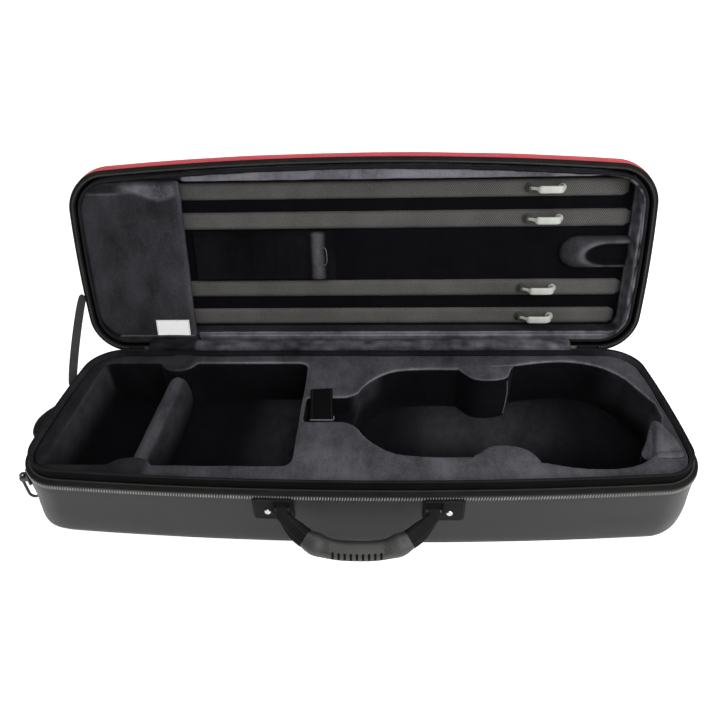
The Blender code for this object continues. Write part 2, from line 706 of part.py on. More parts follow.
def make_ring(name, mats):
    """A bracket on an end wall and the oval ring that hangs from its bar."""
    side, ring_y, bar_z = RINGS[name]
    face = side * (end_face_x(ring_y) + 0.0006)
    bar_x = face + side * RING_BAR_OUT
    plate = box_mesh((min(face, face + side * 0.0022), ring_y - 0.0100, bar_z - 0.0075),
                     (max(face, face + side * 0.0022), ring_y + 0.0100, bar_z + 0.0075))
    bracket = add_object(f"ring_bracket_{name}", plate, mats["steel"])
    for edge in (-0.0070, 0.0070):
        y = ring_y + edge
        ear = box_mesh((min(face, bar_x + side * 0.0026) + 0.0005, y - 0.0012, bar_z - 0.0026),
                       (max(face, bar_x + side * 0.0026) - 0.0005, y + 0.0012, bar_z + 0.0026))
        join_shape(bracket, add_object(f"ring_ear_{name}", ear, None))
    bar = rod_mesh((bar_x, ring_y - 0.0075, bar_z), (bar_x, ring_y + 0.0075, bar_z), 0.0016, 10)
    join_shape(bracket, add_object(f"ring_bar_{name}", bar, None))
    add_object(f"carry_ring_{name}", ring_mesh(), mats["dark_steel"],
               location=(bar_x, ring_y, bar_z))


def ring_mesh():
    """An oval wire ring in the XZ plane, hanging from a bar at the origin."""
    wire, half_width, length = 0.0014, 0.0062, 0.042
    drop = 0.0016 + wire + 0.0004
    centre_x = 0.0
    path = []
    steps = 8
    for k in range(steps + 1):
        a = math.radians(180 * k / steps)
        path.append((centre_x + half_width * math.cos(a), drop - half_width + half_width * math.sin(a)))
    for k in range(steps + 1):
        a = math.radians(180 + 180 * k / steps)
        path.append((centre_x + half_width * math.cos(a),
                     drop - length + half_width + half_width * math.sin(a)))
    sides = 8
    rings = []
    count = len(path)
    for i, (x, z) in enumerate(path):
        before, after = Vector(path[i - 1]), Vector(path[(i + 1) % count])
        tangent = (after - before).normalized()
        normal = Vector((-tangent.y, 0, tangent.x))
        rings.append([Vector((x, 0, z)) + normal * wire * math.cos(2 * math.pi * k / sides)
                      + Vector((0, wire * math.sin(2 * math.pi * k / sides), 0)) for k in range(sides)])
    return loft_mesh(rings, ring_closed=True)


# ---------------------------------------------------------------- the whole case

def make_materials():
    """One material for each kind of surface."""
    return {
        "leatherette": material("leatherette", (0.035, 0.035, 0.034), 0.55),
        "black_fabric": material("black_fabric", (0.010, 0.010, 0.011), 0.75),
        "zip_tape": material("zip_tape", (0.018, 0.019, 0.017), 0.8),
        "velvet": material("velvet", (0.022, 0.021, 0.028), 0.9),
        "bed_cloth": material("bed_cloth", (0.080, 0.074, 0.066), 0.85),
        "red_fabric": material("red_fabric", (0.42, 0.015, 0.025), 0.7),
        "webbing": material("webbing", (0.03, 0.03, 0.03), 0.85),
        "ribbon": material("ribbon", (0.05, 0.05, 0.06), 0.35),
        "label": material("label", (0.80, 0.80, 0.80), 0.6),
        "clip_plastic": material("clip_plastic", (0.33, 0.35, 0.31), 0.4),
        "dark_plastic": material("dark_plastic", (0.06, 0.06, 0.06), 0.45),
        "rubber": material("rubber", (0.04, 0.04, 0.04), 0.6),
        "nickel": material("nickel", (0.62, 0.59, 0.52), 0.3, 1.0),
        "steel": material("steel", (0.75, 0.75, 0.76), 0.2, 1.0),
        "dark_steel": material("dark_steel", (0.12, 0.12, 0.13), 0.3, 1.0),
    }


def own_materials():
    """Give every object a copy of its material, named after it."""
    for obj in bpy.data.objects:
        if obj.type == "MESH" and obj.data.materials and not obj.hide_render:
            copy = obj.data.materials[0].copy()
            copy.name = obj.name
            obj.data.materials[0] = copy


def main():
    for obj in list(bpy.data.objects):
        bpy.data.objects.remove(obj)
    mats = make_materials()
    lid_axis = add_empty("lid_axis", HINGE, -OPEN_ANGLE)
    make_base_shell(mats)
    make_bottom_panel(mats)
    make_collar(mats)
    make_zip_tapes(mats, lid_axis)
    make_foam_tray(mats)
    make_divider(mats)
    make_waist_block("waist_block_back", 1, 0.0610, mats)
    make_waist_block("waist_block_front", -1, 0.0650, mats)
    make_floor_pads(mats)
    make_neck_strap(mats)
    make_hinge(mats, lid_axis)
    make_gusset(mats)
    make_stay_strap(mats)
    make_zip_sliders(mats)
    make_lid_shell(mats, lid_axis)
    make_lid_lining(mats, lid_axis)
    make_tip_cover(mats, lid_axis)
    make_bow_beds(mats, lid_axis)
    make_centre_pads(mats, lid_axis)
    make_bow_clips(mats, lid_axis)
    make_handle_tabs(mats)
    make_handle(mats)
    make_side_handle(mats)
    for name in RINGS:
        make_ring(name, mats)
    own_materials()


main()
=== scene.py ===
"""An open oblong violin case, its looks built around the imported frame.

Metres, +Z up, in the frame of the CAD. Pieces of the lid are made in the lid's own coordinates:
x along the case, y = -s with s running from the hinge axis to the lid's free edge, and z = w, the
height in the closed lid above its rim plane, which is the depth into it. LID_PLACE opens them.
"""

import math

import bmesh
import bpy
import numpy as np
from mathutils import Matrix, Vector, noise


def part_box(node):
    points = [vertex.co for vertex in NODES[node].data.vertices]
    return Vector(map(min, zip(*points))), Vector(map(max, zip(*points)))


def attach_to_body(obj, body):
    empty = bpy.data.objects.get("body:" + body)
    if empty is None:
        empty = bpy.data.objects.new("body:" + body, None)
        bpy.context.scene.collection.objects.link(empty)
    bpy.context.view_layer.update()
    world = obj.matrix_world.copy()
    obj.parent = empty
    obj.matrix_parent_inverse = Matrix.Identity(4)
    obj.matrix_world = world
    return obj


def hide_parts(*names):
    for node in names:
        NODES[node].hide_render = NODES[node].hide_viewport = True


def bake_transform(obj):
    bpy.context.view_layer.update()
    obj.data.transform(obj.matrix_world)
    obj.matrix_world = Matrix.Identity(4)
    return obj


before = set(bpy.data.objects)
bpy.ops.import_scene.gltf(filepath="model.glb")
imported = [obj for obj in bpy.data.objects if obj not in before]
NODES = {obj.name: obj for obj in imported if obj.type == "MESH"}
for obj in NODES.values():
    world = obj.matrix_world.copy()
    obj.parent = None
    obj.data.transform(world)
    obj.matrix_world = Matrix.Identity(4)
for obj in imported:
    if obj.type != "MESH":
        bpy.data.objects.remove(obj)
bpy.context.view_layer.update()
MATS = {}

# ---------------------------------------------------------------- sizes shared with the CAD

HALF_LENGTH = 0.395
HALF_DEPTH = 0.125
FRONT_BOW = 0.0166
END_BOW = 0.005
CORNER_RADIUS = 0.048
BASE_HEIGHT = 0.0885
LID_DEPTH = 0.050
WALL = 0.0063
EDGE_ROUND = 0.011
LID_EDGE_ROUND = 0.017
SHELL_UNDERSIDE = 0.0028
ZIP_INSET = 0.0051
COLLAR_INSET = 0.0067
COLLAR_THICKNESS = 0.0028
COLLAR_TOP = 0.104
DECK_TOP = 0.096
WELL_FLOOR = 0.025
NECK_FLOOR = 0.064
PAD_FOOT = 0.0262
DIVIDER_X = -0.2540
CENTRE_Y = -0.003
LID_RIM = 0.0042
LINING_FACE = 0.006
GROOVE_DEPTH = 0.0135
POCKET_DEPTH = 0.034
BED_FACE = 0.030
COVER_BACK = 0.0138
BED_CENTRES = (0.2250, 0.1845, 0.0870, 0.0450)
BED_ENDS = (0.3650, 0.3715, 0.3715, 0.3670)
BED_WIDTH = 0.0235
CLIP_X = 0.2315
CLIP_SPAN = 0.042
END_ROLL_START = 0.315
GUSSET_LEFT = -0.305
GUSSET_WIDTH = 0.602
HANDLE_X = 0.0065
HANDLE_HALF_SPAN = 0.083
HANDLE_REACH = 0.0455
GRIP_HALF_LENGTH = 0.057
SLOT_PITCH = 0.0065
HANDLE_PIVOT_Z = 0.0755
TAB_OFFSET = 0.0945
TAB_CENTRE_Z = 0.068
RIVET_OFFSET = 0.1010
SIDE_HANDLE_Z = 0.0700
OPEN_ANGLE = math.radians(104.5)
HANDLE_REST = math.radians(45)
HINGE = Vector((0.0, 0.1265, 0.0927))
LID_PLACE = Matrix.Translation(HINGE) @ Matrix.Rotation(-OPEN_ANGLE, 4, "X")
HERE = Matrix.Identity(4)
UP = Vector((0, 0, 1))
SIDES = (("left", -1), ("right", 1))

CORNER_STEPS = 14
FRONT_STEPS = 44
END_STEPS = 14
EDGE_STEPS = 8


# ---------------------------------------------------------------- camera, floor and light

def make_camera():
    """The camera, looking down at the open case from its front."""
    yaw, pitch, roll = math.radians(-3.01), math.radians(35.8), math.radians(-1.8)
    forward = Vector((math.sin(yaw) * math.cos(pitch), math.cos(yaw) * math.cos(pitch), -math.sin(pitch)))
    level = Vector((math.cos(yaw), -math.sin(yaw), 0))
    above = level.cross(forward)
    right = level * math.cos(roll) + above * math.sin(roll)
    up = above * math.cos(roll) - level * math.sin(roll)
    turn = Matrix((right, up, -forward)).transposed().to_4x4()
    data = bpy.data.cameras.new("camera")
    data.lens = 29.37
    data.sensor_width = 36
    data.clip_start = 0.01
    camera = bpy.data.objects.new("camera", data)
    camera.matrix_world = Matrix.Translation((0.0365, -0.5733, 0.5835)) @ turn
    bpy.context.scene.collection.objects.link(camera)
    bpy.context.scene.camera = camera


def make_light(name, place, target, size, power):
    """A soft rectangular light that looks at a point."""
    data = bpy.data.lights.new(name, "AREA")
    data.shape = "RECTANGLE"
    data.size, data.size_y = size
    data.energy = power
    light = bpy.data.objects.new(name, data)
    away = Vector(place) - Vector(target)
    light.matrix_world = Matrix.Translation(place) @ away.to_track_quat("Z", "Y").to_matrix().to_4x4()
    bpy.context.scene.collection.objects.link(light)


def make_stage():
    """A white table, a white room and the lamps."""
    scene = bpy.context.scene
    scene.view_settings.view_transform = "Standard"
    world = bpy.data.worlds.new("studio")
    world.use_nodes = True
    background = world.node_tree.nodes["Background"]
    background.inputs["Color"].default_value = (1.0, 1.0, 1.0, 1.0)
    background.inputs["Strength"].default_value = 0.36
    scene.world = world
    MATS["table_top"], tree, shader = new_material("table_top")
    mottle = add_node(tree, "ShaderNodeTexNoise", {"Scale": 3.0})
    tint = ramp(tree, mottle.outputs["Fac"], ((0.0, (0.88, 0.88, 0.885)), (1.0, (0.90, 0.90, 0.90))))
    set_inputs(tree, shader, {"Base Color": tint, "Roughness": 0.6, "Emission Color": (1, 1, 1, 1),
                              "Emission Strength": 0.72})
    corners = [(x, y, 0) for x, y in rectangle(-9, 9, -9, 9)]
    table = add_object("table_top", (corners, [(0, 1, 2, 3)]), "table_top")
    table.location.z = -0.0002
    make_light("overhead", (0.30, 0.00, 1.9), (0.0, 0.02, 0.1), (2.2, 1.6), 21)
    make_light("front", (0.75, -1.9, 1.5), (0.0, 0.1, 0.15), (1.8, 1.2), 27)
    make_light("right", (1.7, -1.3, 0.8), (0.1, 0.0, 0.1), (0.9, 0.9), 15)


# ---------------------------------------------------------------- mesh helpers

def add_object(name, shape, finish=None, place=HERE, sharp=38):
    """A smooth-shaded object from (points, faces) in one of the finishes."""
    points, faces = shape
    mesh = bpy.data.meshes.new(name)
    mesh.from_pydata([tuple(p) for p in points], [], faces)
    bm = bmesh.new()
    bm.from_mesh(mesh)
    bmesh.ops.recalc_face_normals(bm, faces=bm.faces)
    bm.to_mesh(mesh)
    bm.free()
    mesh.shade_smooth()
    mesh.set_sharp_from_angle(angle=math.radians(sharp))
    obj = bpy.data.objects.new(name, mesh)
    obj.matrix_world = place
    bpy.context.scene.collection.objects.link(obj)
    if finish:
        mesh.materials.append(MATS[finish])
    return obj


def attach(obj, body, slot, *replaced, padded=None):
    """Make a piece ride on a body and stand for CAD nodes."""
    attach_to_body(obj, body)
    if replaced:
        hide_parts(*replaced)


def piece(name, shape, finish, body, slot, *replaced, place=HERE, sharp=38):
    """Add an object and attach it, where nothing is done to it in between."""
    attach(add_object(name, shape, finish, place, sharp), body, slot, *replaced)


def stitches(name, places, size, finish, body, slot, place=HERE):
    """A row of grains as one piece."""
    piece(name, grains(places, *size), finish, body, slot, place=place, sharp=180)


def dress(obj, painted_light, body, *replaced, padded=None, least=None):
    """Set a velvet piece's painted light and shade, and attach it."""
    set_painted_light(obj, painted_light, least)
    attach(obj, body, "velvet", *replaced, padded=padded)


def apply_modifiers(obj):
    """Bake the modifiers into the mesh."""
    graph = bpy.context.evaluated_depsgraph_get()
    mesh = bpy.data.meshes.new_from_object(obj.evaluated_get(graph))
    old = obj.data
    obj.modifiers.clear()
    obj.data = mesh
    bpy.data.meshes.remove(old)


def combine(obj, shapes, operation, place=HERE):
    """Join or cut an object with shapes."""
    others = [add_object("other", shape, None, place) for shape in shapes]
    for other in others:
        modifier = obj.modifiers.new("combine", "BOOLEAN")
        modifier.operation = operation
        modifier.object = other
    bpy.context.view_layer.update()
    apply_modifiers(obj)
    for other in others:
        bpy.data.objects.remove(other)


def soften(obj, voxel, rounds):
    """Remesh into small even faces and relax them, as cloth over foam rounds every edge."""
    remesh = obj.modifiers.new("remesh", "REMESH")
    remesh.mode = "VOXEL"
    remesh.voxel_size = voxel
    smooth = obj.modifiers.new("smooth", "SMOOTH")
    smooth.iterations = rounds
    smooth.factor = 0.5
    bpy.context.view_layer.update()
    apply_modifiers(obj)
    obj.data.shade_smooth()


def points_of(obj):
    """The mesh's points and normals as arrays."""
    count = len(obj.data.vertices)
    points, normals = np.zeros(count * 3), np.zeros(count * 3)
    obj.data.vertices.foreach_get("co", points)
    obj.data.vertex_normals.foreach_get("vector", normals)
    return points.reshape(-1, 3), normals.reshape(-1, 3)


def axes(obj):
    """The mesh's x, y, z and its normals' x, y, z, an array each."""
    points, normals = points_of(obj)
    return (*points.T, *normals.T)


def set_points(obj, points):
    """Move the mesh's points."""
    obj.data.vertices.foreach_set("co", points.ravel())
    obj.data.update()


def field(points, size, seed):
    """Smooth noise between about -1 and 1 at each point."""
    offset = Vector((seed * 7.31, seed * 3.17, seed * 5.71))
    return np.array([noise.noise(Vector(p) / size + offset) for p in points])


def ripple(obj, amount, size, seed=1):
    """Small soft unevenness along the normals."""
    points, normals = points_of(obj)
    set_points(obj, points + normals * (field(points, size, seed) * amount)[:, None])


def set_painted_light(obj, painted_light, least=None):
    """Store the light and shade painted on the velvet at each point, for the velvet's colour to read."""
    if least is not None:
        painted_light = np.clip(painted_light, least, 1)
    attribute = obj.data.attributes.new("painted_light", "FLOAT", "POINT")
    attribute.data.foreach_set("value", np.full(len(obj.data.vertices), painted_light, np.float32))


def blend_step(low, high, values):
    """0 at low, 1 at high, smooth between; low may be above high."""
    t = np.clip((np.asarray(values, float) - low) / (high - low), 0, 1)
    return t * t * (3 - 2 * t)


def bell(values, centre, width):
    """1 at the centre, falling to 1 / e at a width from it."""
    return np.exp(-((values - centre) / width) ** 2)


def quarter_turn(steps):
    """Angles from 0 to 90 degrees."""
    return [math.radians(90 * k / steps) for k in range(steps + 1)]


def rectangle(x0, x1, y0, y1):
    """A sharp-cornered outline."""
    return [(x0, y0), (x1, y0), (x1, y1), (x0, y1)]


def level(outline, z):
    """A flat outline at a height."""
    return [(x, y, z) for x, y in outline]


def loft(rings, closed=False):
    """Bridge equal closed rings of points, capped at both ends or closed into a band."""
    count = len(rings[0])
    points = [p for ring in rings for p in ring]
    faces = []
    last = len(rings) if closed else len(rings) - 1
    for i in range(last):
        a, b = i * count, (i + 1) % len(rings) * count
        faces += [(a + k, a + (k + 1) % count, b + (k + 1) % count, b + k) for k in range(count)]
    if not closed:
        faces.append(tuple(range(count)))
        faces.append(tuple(range(len(points) - count, len(points))))
    return points, faces


def slab(outline, low, high):
    """A flat solid between two heights."""
    return loft([level(outline, z) for z in (low, high)])


def block(low, high):
    """A rectangular solid between two corners."""
    (x0, y0, z0), (x1, y1, z1) = low, high
    return slab(rectangle(x0, x1, y0, y1), z0, z1)


def sweep(path, section, up=(0, 0, 1), closed=False, scales=None, turned=False):
    """Carry a section of (to the right of travel, up) points along a path; turned swaps the two."""
    if turned:
        section = [(b, a) for a, b in section]
    path, up = [Vector(p) for p in path], Vector(up)
    rings = []
    for i, p in enumerate(path):
        before = path[i - 1] if closed or i else p
        after = path[(i + 1) % len(path)] if closed or i < len(path) - 1 else p
        tangent = (after - before).normalized()
        side = tangent.cross(up).normalized()
        lift = side.cross(tangent)
        k = scales[i] if scales else 1.0
        rings.append([p + side * a * k + lift * b * k for a, b in section])
    return loft(rings, closed)


def circle(radius, sides):
    """A round section."""
    turns = [2 * math.pi * (k + 0.5) / sides for k in range(sides)]
    return [(radius * math.cos(a), radius * math.sin(a)) for a in turns]


def rounded_section(width, height, power, sides):
    """A superellipse section."""
    section = []
    for k in range(sides):
        a = 2 * math.pi * (k + 0.5) / sides
        across = math.copysign(abs(math.cos(a)) ** (2 / power), math.cos(a))
        up = math.copysign(abs(math.sin(a)) ** (2 / power), math.sin(a))
        section.append((across * width / 2, up * height / 2))
    return section


def merge(shapes):
    """Several (points, faces) in one."""
    points, faces = [], []
    for more_points, more_faces in shapes:
        start = len(points)
        points += list(more_points)
        faces += [tuple(start + i for i in face) for face in more_faces]
    return points, faces


def along(path, step, closed=False):
    """(point, tangent) at equal steps along a path."""
    path = [Vector(p) for p in path]
    if closed:
        path.append(path[0])
    found = []
    travelled, due = 0.0, step / 2
    for a, b in zip(path, path[1:]):
        length = (b - a).length
        while due < travelled + length:
            t = (due - travelled) / length
            found.append((a.lerp(b, t), (b - a).normalized()))
            due += step
        travelled += length
    return found


def stitch_row(path, step, up=UP, closed=False):
    """Stitches end to end along a path."""
    return [(point, tangent, up) for point, tangent in along(path, step, closed)]


def grains(places, length, width, height):
    """Small tapered stitches, one for each (centre, direction, up)."""
    shapes = []
    for centre, direction, up in places:
        side = direction.cross(up).normalized()
        rings = []
        for t, k in ((-0.5, 0.45), (-0.28, 1.0), (0.28, 1.0), (0.5, 0.45)):
            middle = centre + direction * t * length
            rings.append([middle + side * a * width / 2 * k + up * b * height / 2 * k
                          for a, b in ((1, -1), (1, 0.4), (0.4, 1), (-0.4, 1), (-1, 0.4), (-1, -1))])
        shapes.append(loft(rings))
    return merge(shapes)


def rounded_rectangle(x0, x1, y0, y1, right_radius, steps=8, left_radius=None):
    """A counter-clockwise outline with arcs at its four corners."""
    left, right = left_radius or right_radius, right_radius
    corners = ((x1 - right, y1 - right, right, 0), (x0 + left, y1 - left, left, 90),
               (x0 + left, y0 + left, left, 180), (x1 - right, y0 + right, right, 270))
    points = []
    for cx, cy, radius, start in corners:
        for k in range(steps + 1):
            a = math.radians(start + 90 * k / steps)
            points.append((cx + radius * math.cos(a), cy + radius * math.sin(a)))
    return points


def smooth_curve(points, steps=6):
    """A Catmull-Rom curve through the points, ends held."""
    padded = [points[0], *points, points[-1]]
    curve = []
    for p0, p1, p2, p3 in zip(padded, padded[1:], padded[2:], padded[3:]):
        for k in range(steps):
            t = k / steps
            curve.append(tuple(
                0.5 * (2 * b + (c - a) * t + (2 * a - 5 * b + 4 * c - d) * t ** 2
                       + (3 * b - a - 3 * c + d) * t ** 3)
                for a, b, c, d in zip(p0, p1, p2, p3)))
    curve.append(tuple(points[-1]))
    return curve


# ---------------------------------------------------------------- outlines of the case

def case_outline(inset=0.0, back_inset=None):
    """The plan outline pulled in by inset, counter-clockwise from the right end's back corner."""
    if back_inset is None:
        back_inset = inset
    half_x = HALF_LENGTH - END_BOW - inset
    back, front, radius = HALF_DEPTH - back_inset, HALF_DEPTH - inset, CORNER_RADIUS - inset
    points = []

    def arc(cx, cy, start):
        for k in range(CORNER_STEPS + 1):
            a = math.radians(start + 90 * k / CORNER_STEPS)
            points.append((cx + radius * math.cos(a), cy + radius * math.sin(a)))

    def run(start, end, count):
        for k in range(1, count):
            t = k / count
            points.append((start[0] + (end[0] - start[0]) * t, start[1] + (end[1] - start[1]) * t))

    arc(half_x - radius, back - radius, 0)
    run((half_x - radius, back), (-half_x + radius, back), FRONT_STEPS)
    arc(-half_x + radius, back - radius, 90)
    run((-half_x, back - radius), (-half_x, -front + radius), END_STEPS)
    arc(-half_x + radius, -front + radius, 180)
    run((-half_x + radius, -front), (half_x - radius, -front), FRONT_STEPS)
    arc(half_x - radius, -front + radius, 270)
    run((half_x, -front + radius), (half_x, back - radius), END_STEPS)
    bowed = []
    for x, y in points:
        bow_front = 1 - (x / half_x) ** 2
        bow_end = 1 - (y / max(back, front)) ** 2
        bowed.append((x * (1 + END_BOW / half_x * bow_end),
                      y * (1 + FRONT_BOW / front * bow_front) if y < 0 else y))
    return bowed


def case_rings(profile):
    """Rings round the case for (inset, height) pairs."""
    return [level(case_outline(inset), z) for inset, z in profile]


def zip_path(inset, height):
    """The outline round the front and ends, from the left hinge corner to the right one."""
    outline = case_outline(inset)
    first = CORNER_STEPS + FRONT_STEPS
    order = [*range(first, len(outline)), 0, *range(1, CORNER_STEPS + 1)]
    return [(outline[i][0], outline[i][1], height) for i in order]


def front_face_y(x):
    """Where the front wall's outer face stands at x."""
    return -(HALF_DEPTH + FRONT_BOW * (1 - (x / (HALF_LENGTH - END_BOW)) ** 2))


def end_face_x(y):
    """How far out the end walls' outer faces stand at y."""
    return HALF_LENGTH - END_BOW * (y / HALF_DEPTH) ** 2


def lid_local(points):
    """Plan points of the closed lid, measured from the hinge axis."""
    return [(x, y - HINGE.y, z) for x, y, z in points]


def lid_ring(inset, w, back_inset=None):
    """A ring round the lid at depth w."""
    return lid_local(level(case_outline(inset, back_inset), w))


PIVOT_Y = front_face_y(HANDLE_X + HANDLE_HALF_SPAN) - 0.0095
# The handle's own plane: x along the case, y away from the pivot line.
HANDLE_PLACE = Matrix.Translation((HANDLE_X, PIVOT_Y, HANDLE_PIVOT_Z)) @ Matrix.Rotation(HANDLE_REST, 4, "X")


# ---------------------------------------------------------------- materials

WAVE_PITCH = 0.314  # metres between the bands of a wave texture at scale 1

def new_material(name):
    """A material with its node tree and Principled shader."""
    mat = bpy.data.materials.new(name)
    mat.use_nodes = True
    return mat, mat.node_tree, mat.node_tree.nodes["Principled BSDF"]


def set_inputs(tree, node, inputs):
    """Set a node's inputs, or link them where a socket is given."""
    for key, value in inputs.items():
        if isinstance(value, bpy.types.NodeSocket):
            tree.links.new(value, node.inputs[key])
        else:
            node.inputs[key].default_value = value


def add_node(tree, kind, inputs, **settings):
    """A node with its settings made and its inputs set or linked."""
    made = tree.nodes.new(kind)
    for key, value in settings.items():
        setattr(made, key, value)
    set_inputs(tree, made, inputs)
    return made


def ramp(tree, factor, stops):
    """A colour ramp's output."""
    made = add_node(tree, "ShaderNodeValToRGB", {"Fac": factor})
    elements = made.color_ramp.elements
    while len(elements) < len(stops):
        elements.new(0.5)
    for element, (place, colour) in zip(elements, stops):
        element.position = place
        element.color = (*colour, 1.0)
    return made.outputs["Color"]


def maths(tree, operation, a, b, c=0.0, clamp=False):
    """The output of a Math node."""
    made = add_node(tree, "ShaderNodeMath", {0: a, 1: b, 2: c}, operation=operation, use_clamp=clamp)
    return made.outputs[0]


def object_space(tree, scale=(1, 1, 1), turn=(0, 0, 0)):
    """Object coordinates, scaled and turned."""
    place = add_node(tree, "ShaderNodeTexCoord", {})
    mapping = add_node(tree, "ShaderNodeMapping", {"Vector": place.outputs["Object"], "Scale": scale,
                                                   "Rotation": turn})
    return mapping.outputs["Vector"]


def noise_value(tree, where, scale, detail, roughness=0.5):
    """The value of a noise texture."""
    made = add_node(tree, "ShaderNodeTexNoise", {"Vector": where, "Scale": scale, "Detail": detail,
                                                 "Roughness": roughness})
    return made.outputs["Fac"]


def wave_value(tree, where, pitch, direction, distortion, detail, detail_scale=1.0):
    """Bands at a pitch in metres."""
    made = add_node(tree, "ShaderNodeTexWave", {"Vector": where, "Scale": WAVE_PITCH / pitch,
                                                "Distortion": distortion, "Detail": detail,
                                                "Detail Scale": detail_scale}, bands_direction=direction)
    return made.outputs["Fac"]


def add_bump(tree, shader, height, strength, distance):
    """Bump from a height value."""
    bump = add_node(tree, "ShaderNodeBump", {"Height": height, "Strength": strength, "Distance": distance})
    tree.links.new(bump.outputs["Normal"], shader.inputs["Normal"])


def velvet_material(name, dark, light, sheen):
    """Velvet: the light and shade painted on each point sets how pale the pile is, mottled as if stroked by hand."""
    mat, tree, shader = new_material(name)
    painted_light = add_node(tree, "ShaderNodeAttribute", {}, attribute_name="painted_light").outputs["Fac"]
    crush = noise_value(tree, object_space(tree, (1.0, 0.6, 1.0)), 18, 3)
    mottle = noise_value(tree, object_space(tree, (1.0, 0.5, 0.7)), 95, 4, 0.65)
    fibre = noise_value(tree, object_space(tree), 620, 3, 0.6)
    loose = maths(tree, "MULTIPLY_ADD", crush, 2.0, maths(tree, "MULTIPLY", mottle, 1.1))
    grain = maths(tree, "MULTIPLY_ADD", fibre, 1.2, loose)
    value = maths(tree, "MULTIPLY", painted_light, maths(tree, "SUBTRACT", grain, 1.15), clamp=True)
    set_inputs(tree, shader, {"Base Color": ramp(tree, value, ((0.0, dark), (1.0, light))), "Roughness": 0.95,
                              "Specular IOR Level": 0.02, "Sheen Weight": sheen, "Sheen Roughness": 0.42,
                              "Sheen Tint": (0.80, 0.80, 0.90, 1.0)})
    add_bump(tree, shader, maths(tree, "ADD", fibre, mottle), 0.5, 0.0006)
    return mat


def woven_material(name, dark, light, pitch, turn=(0, 0, 0), rough=0.8, sheen=0.0):
    """Cloth of crossing threads at a pitch in metres."""
    mat, tree, shader = new_material(name)
    where = object_space(tree, turn=turn)
    threads = maths(tree, "MULTIPLY", wave_value(tree, where, pitch, "X", 0.6, 1.0),
                    wave_value(tree, where, pitch, "DIAGONAL", 0.6, 1.0))
    worn = maths(tree, "MULTIPLY", noise_value(tree, where, 40, 4), 0.6)
    value = maths(tree, "MULTIPLY_ADD", threads, 0.55, worn)
    set_inputs(tree, shader, {"Base Color": ramp(tree, value, ((0.0, dark), (0.85, light))), "Roughness": rough,
                              "Specular IOR Level": 0.04, "Sheen Weight": sheen, "Sheen Roughness": 0.5,
                              "Sheen Tint": (0.9, 0.9, 0.9, 1.0)})
    add_bump(tree, shader, threads, 0.6, 0.00025)
    return mat


def ribbed_material(name, dark, light, pitch, turn, depth):
    """Cloth with fine parallel ribs."""
    mat, tree, shader = new_material(name)
    where = object_space(tree, turn=turn)
    ribs = wave_value(tree, where, pitch, "X", 1.2, 2.0, 3.0)
    value = maths(tree, "ADD", maths(tree, "MULTIPLY", ribs, 0.45),
                  maths(tree, "MULTIPLY", noise_value(tree, where, 700, 3), 0.55))
    value = maths(tree, "ADD", value, maths(tree, "MULTIPLY", noise_value(tree, where, 22, 3), 0.35))
    set_inputs(tree, shader, {"Base Color": ramp(tree, value, ((0.35, dark), (1.0, light))), "Roughness": 0.8,
                              "Specular IOR Level": 0.2})
    add_bump(tree, shader, value, 0.5, depth)
    return mat


def leather_material(name, dark, light, grain_size, rough, gloss):
    """Leathercloth: pebbled grain, uneven polish and slightly worn colour."""
    mat, tree, shader = new_material(name)
    where = object_space(tree)
    cells = add_node(tree, "ShaderNodeTexVoronoi", {"Vector": where, "Scale": 1 / grain_size,
                                                    "Randomness": 0.9}, feature="DISTANCE_TO_EDGE")
    pebble = ramp(tree, cells.outputs["Distance"], ((0.0, (0, 0, 0)), (0.28, (1, 1, 1))))
    fine = noise_value(tree, where, 2.2 / grain_size, 3)
    worn = noise_value(tree, where, 14, 5, 0.6)
    value = maths(tree, "ADD", maths(tree, "MULTIPLY", worn, 0.5), maths(tree, "MULTIPLY", fine, 0.3))
    set_inputs(tree, shader, {"Base Color": ramp(tree, value, ((0.15, dark), (0.75, light))),
                              "Roughness": maths(tree, "MULTIPLY_ADD", worn, 0.22, rough - 0.11),
                              "Specular IOR Level": gloss})
    height = maths(tree, "ADD", maths(tree, "MULTIPLY", pebble, 0.8), maths(tree, "MULTIPLY", fine, 0.4))
    add_bump(tree, shader, height, 0.35, 0.00025)
    return mat


def plastic_material(name, colour, rough, metallic=0.0, scuff=0.25):
    """Moulded plastic, rubber or plated metal with faint unevenness and small scuffs."""
    mat, tree, shader = new_material(name)
    where = object_space(tree)
    low = tuple(c * (1 - scuff) for c in colour)
    high = tuple(min(c * (1 + scuff), 1) for c in colour)
    polish = maths(tree, "MULTIPLY_ADD", noise_value(tree, where, 240, 3), 0.25, max(rough - 0.12, 0.02))
    colours = ramp(tree, noise_value(tree, where, 60, 4), ((0.3, low), (0.7, high)))
    set_inputs(tree, shader, {"Base Color": colours, "Roughness": polish, "Metallic": metallic})
    add_bump(tree, shader, noise_value(tree, where, 1800, 2), 0.12, 0.0001)
    return mat


